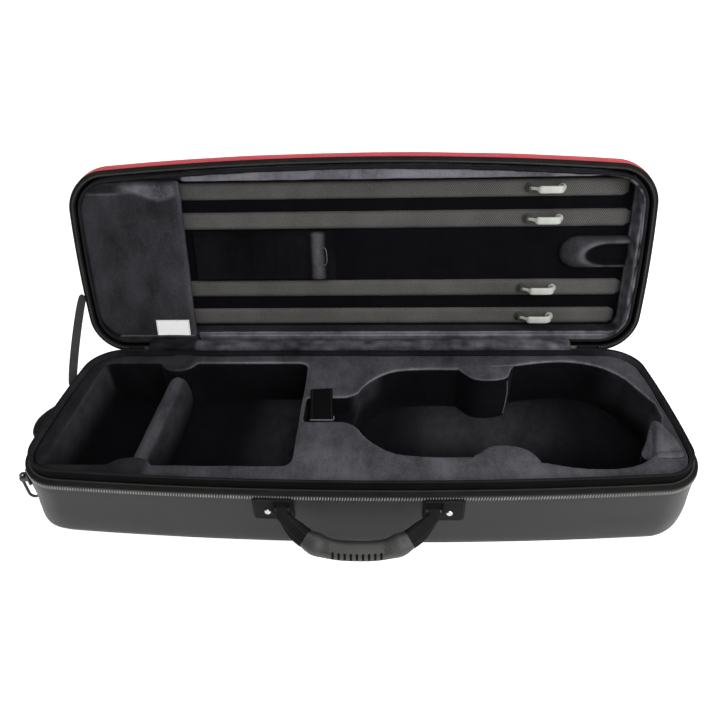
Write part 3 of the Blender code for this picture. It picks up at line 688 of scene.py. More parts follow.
def make_materials():
    """Every finish of the case."""
    tape_turn = (0, 0, math.radians(45))
    slant = (math.radians(45), math.radians(19.5), math.radians(45))
    rib_turn, webbing_turn = (0, 0, math.radians(35)), (0, math.radians(90), 0)
    kinds = (
        (velvet_material, {
            "velvet": ("velvet_lining", (0.0020, 0.0019, 0.0025), (0.150, 0.146, 0.166), 0.018),
            # a darker copy of the velvet: painted shade for the sunken neck pad
            "shaded_velvet": ("velvet_deep", (0.0012, 0.0011, 0.0014), (0.080, 0.078, 0.087), 0.004)}),
        (leather_material, {
            "leatherette": ("leatherette", (0.004, 0.004, 0.004), (0.0152, 0.0152, 0.0149), 0.0013, 0.45, 0.26),
            "tab_leather": ("tab_leather", (0.003, 0.003, 0.003), (0.013, 0.013, 0.0125), 0.0011, 0.6, 0.06)}),
        (woven_material, {
            "black_cloth": ("black_cloth", (0.0012, 0.0012, 0.0012), (0.0046, 0.0046, 0.0049), 0.0008),
            "rim_cloth": ("rim_cloth", (0.003, 0.003, 0.003), (0.020, 0.020, 0.022), 0.0009),
            "tape": ("tape_cloth", (0.003, 0.003, 0.003), (0.020, 0.020, 0.019), 0.0009, tape_turn),
            "red": ("red_cloth", (0.30, 0.010, 0.018), (0.66, 0.035, 0.055), 0.0008, slant, 0.7, 0.25),
            "label": ("label_cloth", (0.84, 0.84, 0.84), (0.97, 0.97, 0.97), 0.0005)}),
        (ribbed_material, {
            "bed": ("bed_cloth", (0.016, 0.0152, 0.0148), (0.116, 0.1115, 0.108), 0.0022, rib_turn, 0.0003),
            "webbing": ("webbing", (0.008, 0.008, 0.008), (0.050, 0.050, 0.050), 0.0016, webbing_turn, 0.0006)}),
        (plastic_material, {
            "coil": ("coil_nylon", (0.026, 0.026, 0.024), 0.45),
            "thread": ("thread", (0.180, 0.180, 0.170), 0.6),
            "dark_thread": ("dark_thread", (0.009, 0.009, 0.009), 0.8),
            "ribbon": ("ribbon", (0.06, 0.06, 0.07), 0.35),
            "clip": ("clip_plastic", (0.38, 0.39, 0.355), 0.38, 0.0, 0.08),
            "dark_plastic": ("dark_plastic", (0.026, 0.027, 0.024), 0.42),
            "rubber": ("rubber", (0.023, 0.023, 0.0218), 0.52),
            # black, painted shade down in the grip's slots
            "slot_black": ("slot_black", (0.003, 0.003, 0.003), 0.8),
            "nickel": ("nickel", (0.60, 0.57, 0.49), 0.34, 1.0, 0.12),
            "steel": ("steel", (0.56, 0.56, 0.56), 0.26, 1.0, 0.08),
            "gunmetal": ("gunmetal", (0.045, 0.045, 0.050), 0.38, 0.8)}),
    )
    for kind, rows in kinds:
        for key, row in rows.items():
            MATS[key] = kind(*row)


# ---------------------------------------------------------------- base: outside

def make_base_shell():
    """The leathercloth shell with its rolled lower edge, and the seam along it."""
    profile = [(EDGE_ROUND * (1 - math.sin(a)), SHELL_UNDERSIDE + EDGE_ROUND * (1 - math.cos(a)))
               for a in quarter_turn(EDGE_STEPS)]
    low, lip = SHELL_UNDERSIDE + EDGE_ROUND, BASE_HEIGHT - 0.001
    profile += [(-0.0003, low + (lip - low) * k / 12) for k in range(1, 12)]
    profile += [(0.0, lip), (0.001, BASE_HEIGHT), (WALL, BASE_HEIGHT), (WALL, 0.012)]
    shell = add_object("base_outer_shell", loft(case_rings(profile)), "leatherette")
    points, _ = points_of(shell)
    x, _, z = points.T
    belly = 0.0028 * bell(z, 0.030, 0.017) * blend_step(0.20, 0.34, np.abs(x))
    belly += 0.0034 * bell(z, 0.012, 0.010) * blend_step(-0.33, -0.37, x)
    plan = points * (1, 1, 0) / np.linalg.norm(points[:, :2], axis=1)[:, None]
    set_points(shell, points + plan * (belly * (0.8 + 0.5 * field(points, 0.045, 21)))[:, None])
    ripple(shell, 0.00035, 0.05)
    attach(shell, "base", "leatherette", "base_shell")
    seam = level(case_outline(0.0026), SHELL_UNDERSIDE + 0.0046)
    piece("base_lower_piping", sweep(seam, circle(0.0011, 8), closed=True), "tab_leather", "base",
          "leatherette")


def make_rim_stitches():
    """Upright whip stitches round the base's rim, and the piping under the zip."""
    row = [(point, (UP + tangent * 0.18).normalized(), tangent.cross(UP).normalized())
           for point, tangent in along(zip_path(-0.00035, 0.0838), 0.0031)]
    stitches("rim_whip_stitches", row, (0.0050, 0.0015, 0.0016), "thread", "base", "leatherette")
    bead = sweep(zip_path(0.0006, BASE_HEIGHT - 0.0002), circle(0.0010, 8))
    piece("rim_piping_base", bead, "tab_leather", "base", "leatherette")


def zip_half(name, low, high, place, flip):
    """One woven tape with its row of coil teeth along the inner edge."""
    thickness, rise = 0.0009, high - low
    section = ((0.0052, 0.0), (0.0052, thickness), (0.0020, thickness + rise * 0.5),
               (-0.0003, thickness + rise), (-0.0003, rise), (0.0020, rise * 0.5))
    path = zip_path(ZIP_INSET, low if flip > 0 else high)
    if place is not HERE:
        path = lid_local(path)
    tape = sweep(path, [(a, b * flip) for a, b in section])
    piece(f"zip_tape_{name}_cloth", tape, "tape", name, "zip_tape", f"zip_tape_{name}", place=place)
    edge = high + thickness * 0.2 if flip > 0 else low - thickness * 0.2
    teeth = []
    for point, tangent in along([(x, y, edge) for x, y, _ in path], 0.0021):
        inward = -tangent.cross(UP).normalized()
        teeth.append((point + inward * 0.0001, inward, UP * flip))
    stitches(f"zip_coil_{name}", teeth, (0.0024, 0.0014, 0.0013), "coil", name, "zip_tape", place)


def make_zips():
    """The zip's lower half on the base and its upper half on the lid."""
    zip_half("base", BASE_HEIGHT + 0.0004, 0.0912, HERE, 1)
    zip_half("lid", 0.0012, LID_RIM - 0.0004, LID_PLACE, -1)


def make_collar():
    """The upright lip inside the rim: its cloth, its velvet facing and the strip bound over its top."""
    inner = COLLAR_INSET + COLLAR_THICKNESS
    middle = (COLLAR_INSET + inner) / 2
    profile = [(COLLAR_INSET, z) for z in (0.061, 0.0985, COLLAR_TOP - 0.0022)]
    profile += [(middle - 0.0014 * math.cos(a), COLLAR_TOP - 0.0016 + 0.0014 * math.sin(a))
                for a in (0.3, 0.9, 1.57, 2.24, 2.84)]
    profile += [(inner, COLLAR_TOP - 0.0022), (inner, 0.061)]
    piece("collar_cloth", loft(case_rings(profile), closed=True), "black_cloth", "base", "black_fabric",
          "base_collar")
    profile = rectangle(inner + 0.00005, inner + 0.0005, 0.094, COLLAR_TOP - 0.0016)
    facing = add_object("collar_velvet", loft(case_rings(profile), closed=True), "velvet")
    x = points_of(facing)[0][:, 0]
    # painted light: the velvet facing is paler towards both ends, more at the right end
    ends = blend_step(0.335, 0.375, np.abs(x))
    dress(facing, 0.075 + ends * (0.11 + 0.14 * blend_step(0.0, 0.1, x)), "base")
    binding = sweep(level(case_outline(middle), COLLAR_TOP - 0.0012), rounded_section(0.0030, 0.0022, 2.6, 10),
                    closed=True)
    piece("collar_binding", binding, "rim_cloth", "base", "black_fabric")


# ---------------------------------------------------------------- base: velvet inside

def well_side():
    """Half of the violin well's outline: x and distance from the well's centre line."""
    bouts = ((-0.004, 0.012), (0.006, 0.041), (0.024, 0.063), (0.050, 0.079), (0.090, 0.0835),
             (0.130, 0.0835), (0.170, 0.085), (0.210, 0.091), (0.250, 0.099), (0.285, 0.1015),
             (0.315, 0.096), (0.338, 0.084), (0.356, 0.064))
    return smooth_curve(bouts) + [(0.3765, 0.012)]


def mirrored(side):
    """A closed outline from half widths on both sides of the well's centre line."""
    return [(x, CENTRE_Y - w) for x, w in side] + [(x, CENTRE_Y + w) for x, w in reversed(side)]


def ellipse(cx, cy, rx, ry, steps=24):
    """An elliptical outline."""
    turns = [2 * math.pi * k / steps for k in range(steps)]
    return [(cx + rx * math.cos(a), cy + ry * math.sin(a)) for a in turns]


def neck_slot():
    """The slot for the violin's neck, flared where it opens into the well."""
    front = smooth_curve(((-0.066, -0.0265), (-0.022, -0.0265), (-0.010, -0.0290), (0.000, -0.0355),
                          (0.008, -0.0445), (0.020, -0.0520)), 4)
    back = smooth_curve(((0.020, 0.0440), (0.008, 0.0365), (0.000, 0.0275), (-0.010, 0.0210),
                         (-0.022, 0.0190), (-0.066, 0.0190)), 4)
    return front + back


def make_tray():
    """The foam insert under its velvet: deck, wells, and the ribs that hold the divider."""
    inset, above = COLLAR_INSET + COLLAR_THICKNESS + 0.0006, DECK_TOP + 0.02
    sides = ((inset, 0.011), (inset, DECK_TOP - 0.004), (inset + 0.001, DECK_TOP))
    tray = add_object("velvet_tray", loft(case_rings(sides)), "velvet")
    combine(tray, [slab(rounded_rectangle(-0.3645, -0.0715, -0.1030, 0.0950, 0.012), WELL_FLOOR, above),
                   slab(mirrored(well_side()), WELL_FLOOR, above),
                   slab(neck_slot(), NECK_FLOOR, above)], "DIFFERENCE")
    combine(tray, [slab(ellipse(-0.2570, 0.0980, 0.026, 0.021), 0.02, DECK_TOP),
                   slab(ellipse(-0.2600, -0.1060, 0.026, 0.016), 0.02, DECK_TOP)], "UNION")
    soften(tray, 0.0022, 9)
    ripple(tray, 0.0007, 0.035, 2)
    dress(tray, tray_painted_light(*axes(tray)), "base", "foam_tray", padded=0.85)


def tray_painted_light(x, y, z, nx, ny, nz):
    """Painted light and shade on the tray: a lit deck, darker left of x = -0.24, with painted highlights on its
    rounded edges and walls in painted shade, a few of them lit.
    """
    # the deck's painted light: darker left of x = -0.24, changing towards its back, lighter towards its front
    right = blend_step(-0.243, -0.233, x)
    deck = 0.085 + 0.215 * right - 0.05 * right * blend_step(0.085, 0.105, y)
    deck = deck + 0.05 * (1 - right) * blend_step(0.080, 0.095, y)
    deck = deck + 0.09 * blend_step(-0.06, -0.09, y) * blend_step(-0.2, 0.0, x)
    # painted light on the walls: the left end's wall, the right end's wall and the neck slot's entry lit, all other
    # walls in painted shade
    left_wall = blend_step(0.55, 0.95, nx) * blend_step(-0.350, -0.362, x)
    wall = 0.017 + 0.24 * left_wall * blend_step(0.030, 0.080, z) * (0.5 + 0.5 * blend_step(-0.10, 0.0, y))
    end = blend_step(-0.25, -0.8, nx) * blend_step(0.325, 0.350, x) * blend_step(0.030, 0.075, z)
    wall += end * (0.17 + 0.22 * blend_step(0.015, -0.005, y) - 0.05 * blend_step(0.03, 0.06, y))
    entry = blend_step(0.3, 0.8, nx) * blend_step(0.03, 0.01, np.abs(x - 0.008)) * blend_step(0.05, 0.09, z)
    wall += 0.20 * entry
    up = blend_step(0.35, 0.85, nz) * blend_step(0.070, 0.085, z)
    # painted highlight along the rounded top edges, strongest where they face the front or the ends
    edge = bell(nz, 0.74, 0.20) * blend_step(0.082, 0.090, z) * blend_step(-0.30, -0.14, x)
    edge_highlight_facing = 0.16 + 0.50 * blend_step(0.0, -0.6, ny) + 0.34 * blend_step(0.2, 0.7, np.abs(nx))
    return wall + (deck - wall) * up + edge * edge_highlight_facing


def make_divider():
    """The padded wall between the two compartments: a pillow with a rounded top and back end."""
    rings = []
    for k in range(49):
        y = -0.0960 + 0.1745 * k / 48
        end = 1 - math.sqrt(max(1 - max(0.0, (y - 0.0625) / 0.0160) ** 2, 0.02))
        top, half = 0.0925 - 0.0200 * end, 0.0092 - 0.0030 * end
        left, right = [], []
        for j in range(15):
            z = PAD_FOOT + (top - PAD_FOOT) * j / 14
            crown = math.sqrt(max(1 - max(0.0, (z - top + 0.0080) / 0.0080) ** 2, 0.0))
            belly = 0.0045 * math.sin(math.pi * min((z - PAD_FOOT) / (top - PAD_FOOT), 1.0)) ** 1.2
            left.append((DIVIDER_X - half * (0.18 + 0.82 * crown), y, z))
            right.append((DIVIDER_X + half * (0.18 + 0.82 * crown) + belly, y, z))
        rings.append(left + right[::-1])
    divider = add_object("velvet_divider", loft(rings), "velvet")
    soften(divider, 0.0016, 8)
    ripple(divider, 0.0008, 0.03, 5)
    _, y, z, nx, ny, nz = axes(divider)
    # painted light: the right face lit, more away from the front, and the top lit; faces looking towards the back in
    # painted shade
    face = blend_step(-0.25, 0.45, nx) * blend_step(0.030, 0.074, z) * (0.45 + 0.55 * blend_step(-0.095, -0.02, y))
    top = blend_step(0.1, 0.7, nz) * blend_step(0.076, 0.088, z)
    shade = 1 - 0.75 * blend_step(0.3, 0.9, ny)
    dress(divider, 0.012 + (0.20 * np.maximum(face, 0.8 * top) + 0.12 * top) * shade, "base",
          "compartment_divider", padded=0.8)


def make_floor_pads():
    """The padded floors of the three wells, each with its own painted light and shade."""
    wide = [(min(max(x, 0.001), 0.374), w + 0.004) for x, w in well_side()]
    floors = (
        ("left", rounded_rectangle(-0.3680, -0.2540, -0.1060, 0.0985, 0.010), lambda x, y: 0.006),
        # the right floor is in painted shade by the divider and lit towards its right end and back
        ("right", rounded_rectangle(-0.2500, -0.0680, -0.1060, 0.0985, 0.010),
         lambda x, y: 0.010 + 0.065 * blend_step(-0.165, -0.105, x) * blend_step(-0.10, -0.02, y)),
        ("violin", mirrored(wide), violin_floor_painted_light),
    )
    for name, outline, painted_light in floors:
        pad = add_object(f"velvet_floor_{name}", slab(outline, WELL_FLOOR - 0.001, WELL_FLOOR + 0.0036), "velvet")
        soften(pad, 0.0022, 5)
        ripple(pad, 0.0008, 0.04, 9)
        x, y = axes(pad)[:2]
        dress(pad, painted_light(x, y), "base", f"{name}_floor_pad", padded=0.5)


def violin_floor_painted_light(x, y):
    """Painted light towards the middle of the well and its back, painted shade in the lower bout's front."""
    back = blend_step(-0.052, 0.025, y)
    middle = blend_step(0.04, 0.13, x) * blend_step(0.31, 0.20, x)
    return 0.003 + 0.098 * back * middle + 0.004 * middle + 0.022 * back


def make_waist_blocks():
    """The two foam blocks that narrow the well at the violin's waist, and the seam down the back one."""
    for name, side, inner, top_light, edge_highlight_level in (("back", 1, 0.0610, 0.26, 0.50), ("front", -1, 0.0680, 0.34, 0.10)):
        face = smooth_curve(((0.2150, 0.0920), (0.2085, 0.0800), (0.2020, inner + 0.0045),
                             (0.1890, inner - 0.0015), (0.1720, inner - 0.0030), (0.1570, inner),
                             (0.1470, inner + 0.0090), (0.1380, 0.0820)))
        outline = [(x, CENTRE_Y + side * w) for x, w in [(0.1340, 0.1000), (0.2160, 0.1000), *face]]
        cushion = add_object(f"velvet_waist_{name}", slab(outline, PAD_FOOT, DECK_TOP + 0.0004), "velvet")
        soften(cushion, 0.0018, 8)
        points, _ = points_of(cushion)
        inward = np.abs(points[:, 1] - CENTRE_Y)
        points[:, 2] -= 0.0035 * blend_step(0.084, 0.100, inward) * blend_step(0.08, 0.094, points[:, 2])
        set_points(cushion, points)
        _, _, z, _, _, nz = axes(cushion)
        # painted light on each block's top and a painted highlight on its rounded edges, brighter on the back block
        top = blend_step(0.4, 0.9, nz) * blend_step(0.085, 0.092, z)
        edge = bell(nz, 0.74, 0.20) * blend_step(0.082, 0.090, z)
        dress(cushion, 0.022 + top_light * top + edge * edge_highlight_level, "base", f"waist_block_{name}", padded=0.85)
    seam = smooth_curve(((0.2020, 0.0615, 0.0890), (0.2035, 0.0605, 0.070), (0.2030, 0.0605, 0.0500),
                         (0.2020, 0.0615, 0.0320)))
    dress(add_object("waist_seam", sweep(seam, circle(0.0009, 8), up=(0, 1, 0)), "velvet"), 0.60, "base")


def make_corner_pad():
    """The three-cornered pad on the deck at the right end, in front of the well's point."""
    outline = smooth_curve(((0.3650, -0.0180), (0.3715, -0.0380), (0.3775, -0.0620), (0.3765, -0.0840),
                            (0.3670, -0.0885), (0.3400, -0.0870), (0.3330, -0.0760), (0.3450, -0.0560),
                            (0.3560, -0.0340), (0.3650, -0.0180)), 5)
    pad = add_object("velvet_corner_pad", slab(outline[:-1], DECK_TOP - 0.020, DECK_TOP + 0.0018), "velvet")
    soften(pad, 0.0015, 12)
    points, _ = points_of(pad)
    dip = blend_step(0.010, 0.0, points[:, 0] - 0.3400 - 0.35 * (points[:, 1] + 0.080))
    points[:, 2] -= 0.010 * dip * blend_step(0.088, 0.098, points[:, 2])
    set_points(pad, points)
    ripple(pad, 0.0005, 0.02, 14)
    x, y, _, _, _, nz = axes(pad)
    # painted light: the top lit, less where it dips, a painted shade along the crease and a painted highlight on the
    # rounded edges
    crease_shading = bell(y + 0.0800 - 0.10 * (x - 0.36), 0, 0.0020)
    painted_light = 0.14 + 0.44 * blend_step(0.1, 0.9, nz) * (1 - 0.5 * dip) - 0.22 * crease_shading + 0.30 * bell(nz, 0.7, 0.15)
    dress(pad, painted_light, "base", padded=0.7, least=0.01)


def make_neck_strap():
    """The dark strap over the neck slot, stitched along both edges, with velvet piping at its front."""
    low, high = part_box("neck_strap")
    width, middle_x, lean = high.x - low.x, (low.x + high.x) / 2, 0.0055
    path = []
    for k in range(25):
        t = k / 24
        path.append((middle_x + lean * t, high.y - (high.y - low.y) * t,
                     DECK_TOP + 0.0016 + 0.0008 * math.sin(math.pi * t)))
    piece("neck_strap_cloth", sweep(path, rounded_section(width, 0.0022, 6.0, 20)), "black_cloth", "neck_strap",
          "black_fabric", "neck_strap")
    rows = []
    for inward in (0.0022, width - 0.0022):
        rows += stitch_row([(x - width / 2 + inward, y, z + 0.0012) for x, y, z in path[1:-1]], 0.0032)
    stitches("neck_strap_stitches", rows, (0.0022, 0.0006, 0.0005), "dark_thread", "neck_strap", "black_fabric")
    left, right, lift = low.x + lean, high.x + lean, DECK_TOP + 0.0022
    line = [(left - 0.0002, low.y - 0.0004, lift), (right - 0.0008, low.y - 0.0004, lift),
            (right + 0.0004, low.y + 0.0014, lift + 0.0002), (right, low.y + 0.0060, lift + 0.0002)]
    dress(add_object("neck_strap_piping", sweep(line, circle(0.0009, 8)), "velvet"), 0.55, "neck_strap")


# ---------------------------------------------------------------- lid

def make_lid_shell():
    """The red cloth shell of the lid with its rolled edge, and the black cloth and piping at its rim."""
    side = LID_DEPTH - LID_EDGE_ROUND
    profile = [(LID_EDGE_ROUND * (1 - math.sin(a)), LID_DEPTH - LID_EDGE_ROUND * (1 - math.cos(a)))
               for a in quarter_turn(EDGE_STEPS)]
    profile += [(0.0, LID_RIM + (side - LID_RIM) * (1 - k / 10)) for k in range(1, 10)]
    outer = len(profile)
    profile += [(0.0, LID_RIM + 0.0008), (0.0008, LID_RIM), (0.0024, LID_RIM + 0.0014),
                (WALL, LID_RIM + 0.0014), (WALL, LID_DEPTH - 0.006)]
    rings = []
    for inset, w in profile:
        puff = 0.0052 * math.sin(math.pi * min(max((w - LID_RIM) / (side - LID_RIM + 0.012), 0.0), 1.0))
        rings.append(lid_ring(inset - (puff if inset < 0.001 else 0), w, inset))
    shell = add_object("lid_outer_shell", loft(rings), "red", LID_PLACE)
    points, normals = points_of(shell)
    outside = np.arange(len(points)) < len(rings[0]) * outer
    set_points(shell, points + normals * (field(points, 0.06, 3) * 0.0003 * outside)[:, None])
    attach(shell, "lid", "red_fabric", "lid_shell")
    lid_strip("lid_rim_piping", lid_ring(0.0008, LID_RIM + 0.0008), (0.0036, 0.0044, 2.4, 12), "tab_leather")
    cloth = rectangle(WALL + 0.00003, WALL + 0.0003, LID_RIM + 0.0012, GROOVE_DEPTH + 0.0060)
    piece("lid_groove_cloth", loft([lid_ring(inset, w) for inset, w in cloth], closed=True), "black_cloth", "lid",
          "black_fabric", place=LID_PLACE)
    lid_strip("lid_rim_facing", lid_ring(0.0042, LID_RIM + 0.0007), (0.0050, 0.0020, 4.0, 12), "rim_cloth")


def lid_strip(name, ring, section, finish):
    """A cloth strip or piping all round the lid's rim."""
    piece(name, sweep(ring, rounded_section(*section), closed=True), finish, "lid", "black_fabric",
          place=LID_PLACE)


def lid_outline(x0, x1, s0, s1, right_radius, steps=8, left_radius=None):
    """A rounded rectangle in the lid, given from the hinge axis towards the free edge."""
    return rounded_rectangle(x0, x1, -s1, -s0, right_radius, steps, left_radius)


def make_lining():
    """The padded velvet frame inside the lid, with the bow pocket sunk in it."""
    wall, groove, back_groove = WALL + 0.0004, 0.0146, 0.0178
    profile = ((wall, LID_DEPTH - 0.0064, wall), (wall, GROOVE_DEPTH, wall),
               (groove, GROOVE_DEPTH, back_groove), (groove, LINING_FACE, back_groove))
    lining = add_object("velvet_lining", loft([lid_ring(*row) for row in profile]), "velvet", LID_PLACE)
    pocket = slab(lid_outline(-0.372, 0.3745, 0.029, 0.2400, 0.018), -0.01, POCKET_DEPTH)
    ledge = slab(lid_outline(-0.42, -0.2360, 0.0185, 0.30, 0.004), -0.01, COVER_BACK)
    combine(lining, [pocket, ledge], "DIFFERENCE", LID_PLACE)
    soften(lining, 0.0022, 6)
    points, normals = points_of(lining)
    slack = blend_step(0.30, 0.36, points[:, 0]) * blend_step(0.026, 0.012, points[:, 2])
    inside = blend_step(0.0150, 0.0190, HALF_LENGTH - np.abs(points[:, 0]))
    set_points(lining, points + normals * (field(points, 0.012, 33) * 0.0017 * slack * inside)[:, None])
    ripple(lining, 0.0006, 0.03, 4)
    points, _ = points_of(lining)
    x, y, w, nx, ny, nz = axes(lining)
    # painted light and shade: shallow faces looking out lit, paler near the free edge and the hinge, darker at the
    # left end, the deep pocket in painted shade; painted highlights on rounded edges; painted light on the right end
    # wall and the wall at the hinge side; patches of painted light and shade on the creases at the right end
    lit_near_rim = blend_step(0.016, 0.010, w)
    crease_shading = 1 + 0.7 * field(points, 0.011, 31) * blend_step(0.30, 0.36, x)
    face = 0.36 + 0.30 * blend_step(0.232, 0.242, -y) + 0.16 * blend_step(0.034, 0.022, -y)
    face *= (1 - 0.55 * blend_step(-0.225, -0.245, x)) * blend_step(-0.3, -0.85, nz) * lit_near_rim
    edge = bell(nz, -0.62, 0.25) * lit_near_rim
    right_wall = blend_step(-0.5, -0.9, nx) * blend_step(0.355, 0.366, x)
    up_wall = blend_step(-0.6, -0.95, ny) * blend_step(0.045, 0.035, -y)
    dress(lining, 0.010 + (face + edge * 0.46 + right_wall * 0.60 + up_wall * 0.10) * crease_shading, "lid", "lid_lining",
          padded=0.8, least=0.01)


def make_rim_band():
    """The flat cloth band between the zip and the velvet, and the puckered velvet rolls over it."""
    band = lid_ring(0.0122, LINING_FACE - 0.0006, 0.0140)
    lid_strip("lid_rim_band", band, (0.0042, 0.0030, 3.0, 12), "rim_cloth")
    for name, x0, x1, painted_light, line in (("left", -0.3560, -0.2380, 0.10, 0.34), ("right", -0.2335, 0.3600, 0.34, 0.50)):
        path = [(x0 + (x1 - x0) * k / 90, -0.0192, 0.0062) for k in range(91)]
        ends = [min(1.0, 0.35 + 0.65 * min(k, 90 - k) / 3) for k in range(91)]
        shape = sweep(path, rounded_section(0.0112, 0.0036, 2.6, 20), scales=ends)
        roll = add_object(f"velvet_hinge_roll_{name}", shape, "velvet", LID_PLACE)
        ripple(roll, 0.0004, 0.025, 15)
        points, _ = points_of(roll)
        # painted light: the left roll darker than the right, paler towards the right end and in crushed patches,
        # with a painted highlight line along each roll's edge
        lit_amount = painted_light * (1 + 0.8 * field(points, 0.016, 16)) + 0.22 * blend_step(0.28, 0.34, points[:, 0])
        dress(roll, lit_amount + line * blend_step(0.0225, 0.0240, -points[:, 1]), "lid", padded=0.5, least=0.01)
    ring = lid_ring(0.0141, LINING_FACE + 0.0009, 0.0156)
    first = next(i for i in range(len(ring)) if ring[i - 1][0] <= END_ROLL_START < ring[i][0])
    path = [p for p in ring[first:] + ring[:first] if p[0] > END_ROLL_START]
    pucker = [min(1.0, 0.3 + 0.2 * min(k, len(path) - 1 - k)) * (1 + 0.16 * math.sin(2.1 * k) * math.cos(0.7 * k))
              for k in range(len(path))]
    shape = sweep(path, rounded_section(0.0060, 0.0036, 2.4, 20), scales=pucker)
    roll = add_object("velvet_end_roll", shape, "velvet", LID_PLACE)
    ripple(roll, 0.0004, 0.009, 18)
    # the puckered end roll in random patches of painted light and shade
    dress(roll, 0.44 * (1 + 1.9 * field(points_of(roll)[0], 0.006, 19)), "lid", padded=0.5, least=0.03)


def lid_relief(name, columns, face, finish, rows=28):
    """A block on the pocket's floor over (x, low s, high s) columns, its face at depth face(x, t)."""
    back, rings = POCKET_DEPTH + 0.001, []
    for x, s0, s1 in columns:
        front = [(x, -(s0 + (s1 - s0) * k / rows), face(x, k / rows)) for k in range(rows + 1)]
        rings.append(front + [(x, -s1, back), (x, -s0, back)])
    return add_object(name, loft(rings), finish, LID_PLACE, 80)


def make_tip_cover():
    """The padded panel over the bow tips, its top end folded back."""
    levels = ((0.0030, COVER_BACK), (0.0004, 0.0128), (0.0, 0.0106), (0.0008, 0.0086), (0.0026, 0.0074))
    rings = [level(lid_outline(-0.3830 + edge, -0.2395 - edge, 0.0200 + edge, 0.2425 - edge, 0.006, 8, 0.042), w)
             for edge, w in levels]
    cover = add_object("velvet_tip_cover", loft(rings), "velvet", LID_PLACE)
    soften(cover, 0.0020, 5)
    points, normals = points_of(cover)
    x, s = points[:, 0], -points[:, 1]
    fold = 0.2255 - 0.0105 * bell(x, -0.271, 0.024) + 0.0012 * np.cos((x + 0.30) * 60)
    past = s - fold - 0.0012 * field(points, 0.02, 6)
    front = blend_step(0.2, -0.6, normals[:, 2])
    flap = blend_step(-0.002, 0.003, past) * blend_step(0.2420, 0.2360, s)
    points[:, 2] += front * (0.0014 * bell(past, 0, 0.0022) - 0.0016 * flap + 0.0022 * blend_step(0.2350, 0.2390, s))
    set_points(cover, points)
    ripple(cover, 0.0006, 0.03, 7)
    # painted light: a pale patch on the folded top (crushed pile with painted sheen), painted highlights along the
    # fold, the top edge and the right edge, a painted shade past the fold at the left, faces looking out lit more
    # than the rest, and a painted highlight near the hinge-side edge
    inside = blend_step(-0.2440, -0.2500, x)
    patch = blend_step(0.0, 0.003, past) * blend_step(0.2395, 0.2340, s) * inside * blend_step(-0.335, -0.300, x)
    dark = blend_step(0.0, 0.004, past) * blend_step(-0.300, -0.335, x)
    painted_light = 0.150 + 0.44 * patch + 0.20 * bell(past, 0.0005, 0.0013) * inside + 0.16 * bell(s, 0.2385, 0.0014)
    painted_light += 0.10 * bell(x, -0.2425, 0.004) - 0.085 * dark + 0.06 * field(points, 0.035, 8)
    rim = blend_step(-0.95, -0.55, normals[:, 2]) * blend_step(0.03, 0.024, s)
    dress(cover, painted_light * (0.25 + 0.75 * front) + 0.22 * rim, "lid", "bow_tip_cover", padded=0.75, least=0.01)


def make_label():
    """The blank label and the hem sewn round it."""
    sides = lid_outline(-0.2970, -0.2485, 0.0180, 0.0475, 0.0006, 2)
    piece("label_cloth", slab(sides, 0.0058, 0.0064), "label", "lid", "label", "blank_label", place=LID_PLACE)
    hem = stitch_row(level(lid_outline(-0.2960, -0.2495, 0.0190, 0.0465, 0.0006, 2), 0.0057), 0.0016, -UP, True)
    stitches("label_stitches", hem, (0.0011, 0.0004, 0.0003), "rim_cloth", "lid", "label", LID_PLACE)


def make_bow_beds():
    """Four ribbed strips that the bows lie on, rounded along both edges."""
    for number, (centre, right) in enumerate(zip(BED_CENTRES, BED_ENDS), 1):
        columns = []
        for k in range(91):
            x = -0.352 + (right + 0.352) * k / 90
            half = BED_WIDTH / 2 - 0.004 * max(0.0, 1 - (right - x) / 0.008) ** 2
            columns.append((x, centre - half, centre + half))

        def face(x, t, end=right):
            crown = 1 - abs(2 * t - 1) ** 6
            tail = min(1.0, (end - x) / 0.006)
            return POCKET_DEPTH - 0.0006 - 0.0036 * crown * max(tail, 0.0) ** 0.5

        bed = lid_relief(f"bed_cloth_{number}", columns, face, "bed", 16)
        ripple(bed, 0.0003, 0.03, number)
        attach(bed, "lid", "bed_cloth", f"bow_bed_{number}", padded=0.7)


def make_neck_pad():
    """The trough for the violin's neck: raised borders, a saddle at its end and a ribbon loop."""
    def face(x, t):
        border = max(0.0, 1 - min(t, 1 - t) / 0.085) ** 1.5
        saddle = math.exp(-((x + 0.057) / 0.0115) ** 2)
        tail = blend_step(-0.0370, -0.0500, x)
        rim = float(blend_step(0.0, 0.05, min(t, 1 - t)))
        lift = max(0.0085 * border, 0.0115 * saddle * rim + 0.004 * border)
        return 0.0330 - (0.0035 + lift) * float(tail) * (0.3 + 0.7 * rim)

    columns = [(-0.235 + 0.201 * k / 130, 0.1005, 0.1700) for k in range(131)]
    # the pad is made in the darker velvet copy, painted shade for the recess
    pad = lid_relief("velvet_neck_pad", columns, face, "shaded_velvet")
    x, _, w = axes(pad)[:3]
    # painted light on the raised borders and a painted highlight on the saddle; the trough between in painted shade
    raised = blend_step(0.0262, 0.0205, w)
    dress(pad, 0.045 + 0.85 * raised * (0.30 + 0.70 * bell(x, -0.061, 0.0095)), "lid", "neck_pad", padded=0.7)
    loop = smooth_curve(((-0.0540, -0.1260, 0.0226), (-0.0515, -0.1240, 0.0205), (-0.0480, -0.1240, 0.0200),
                         (-0.0455, -0.1275, 0.0198), (-0.0450, -0.1370, 0.0196), (-0.0465, -0.1460, 0.0198),
                         (-0.0500, -0.1480, 0.0202), (-0.0530, -0.1455, 0.0222)))
    piece("pull_loop", sweep(loop, rounded_section(0.0012, 0.0030, 3.0, 10)), "ribbon", "lid", "ribbon",
          "pull_tab", place=LID_PLACE)


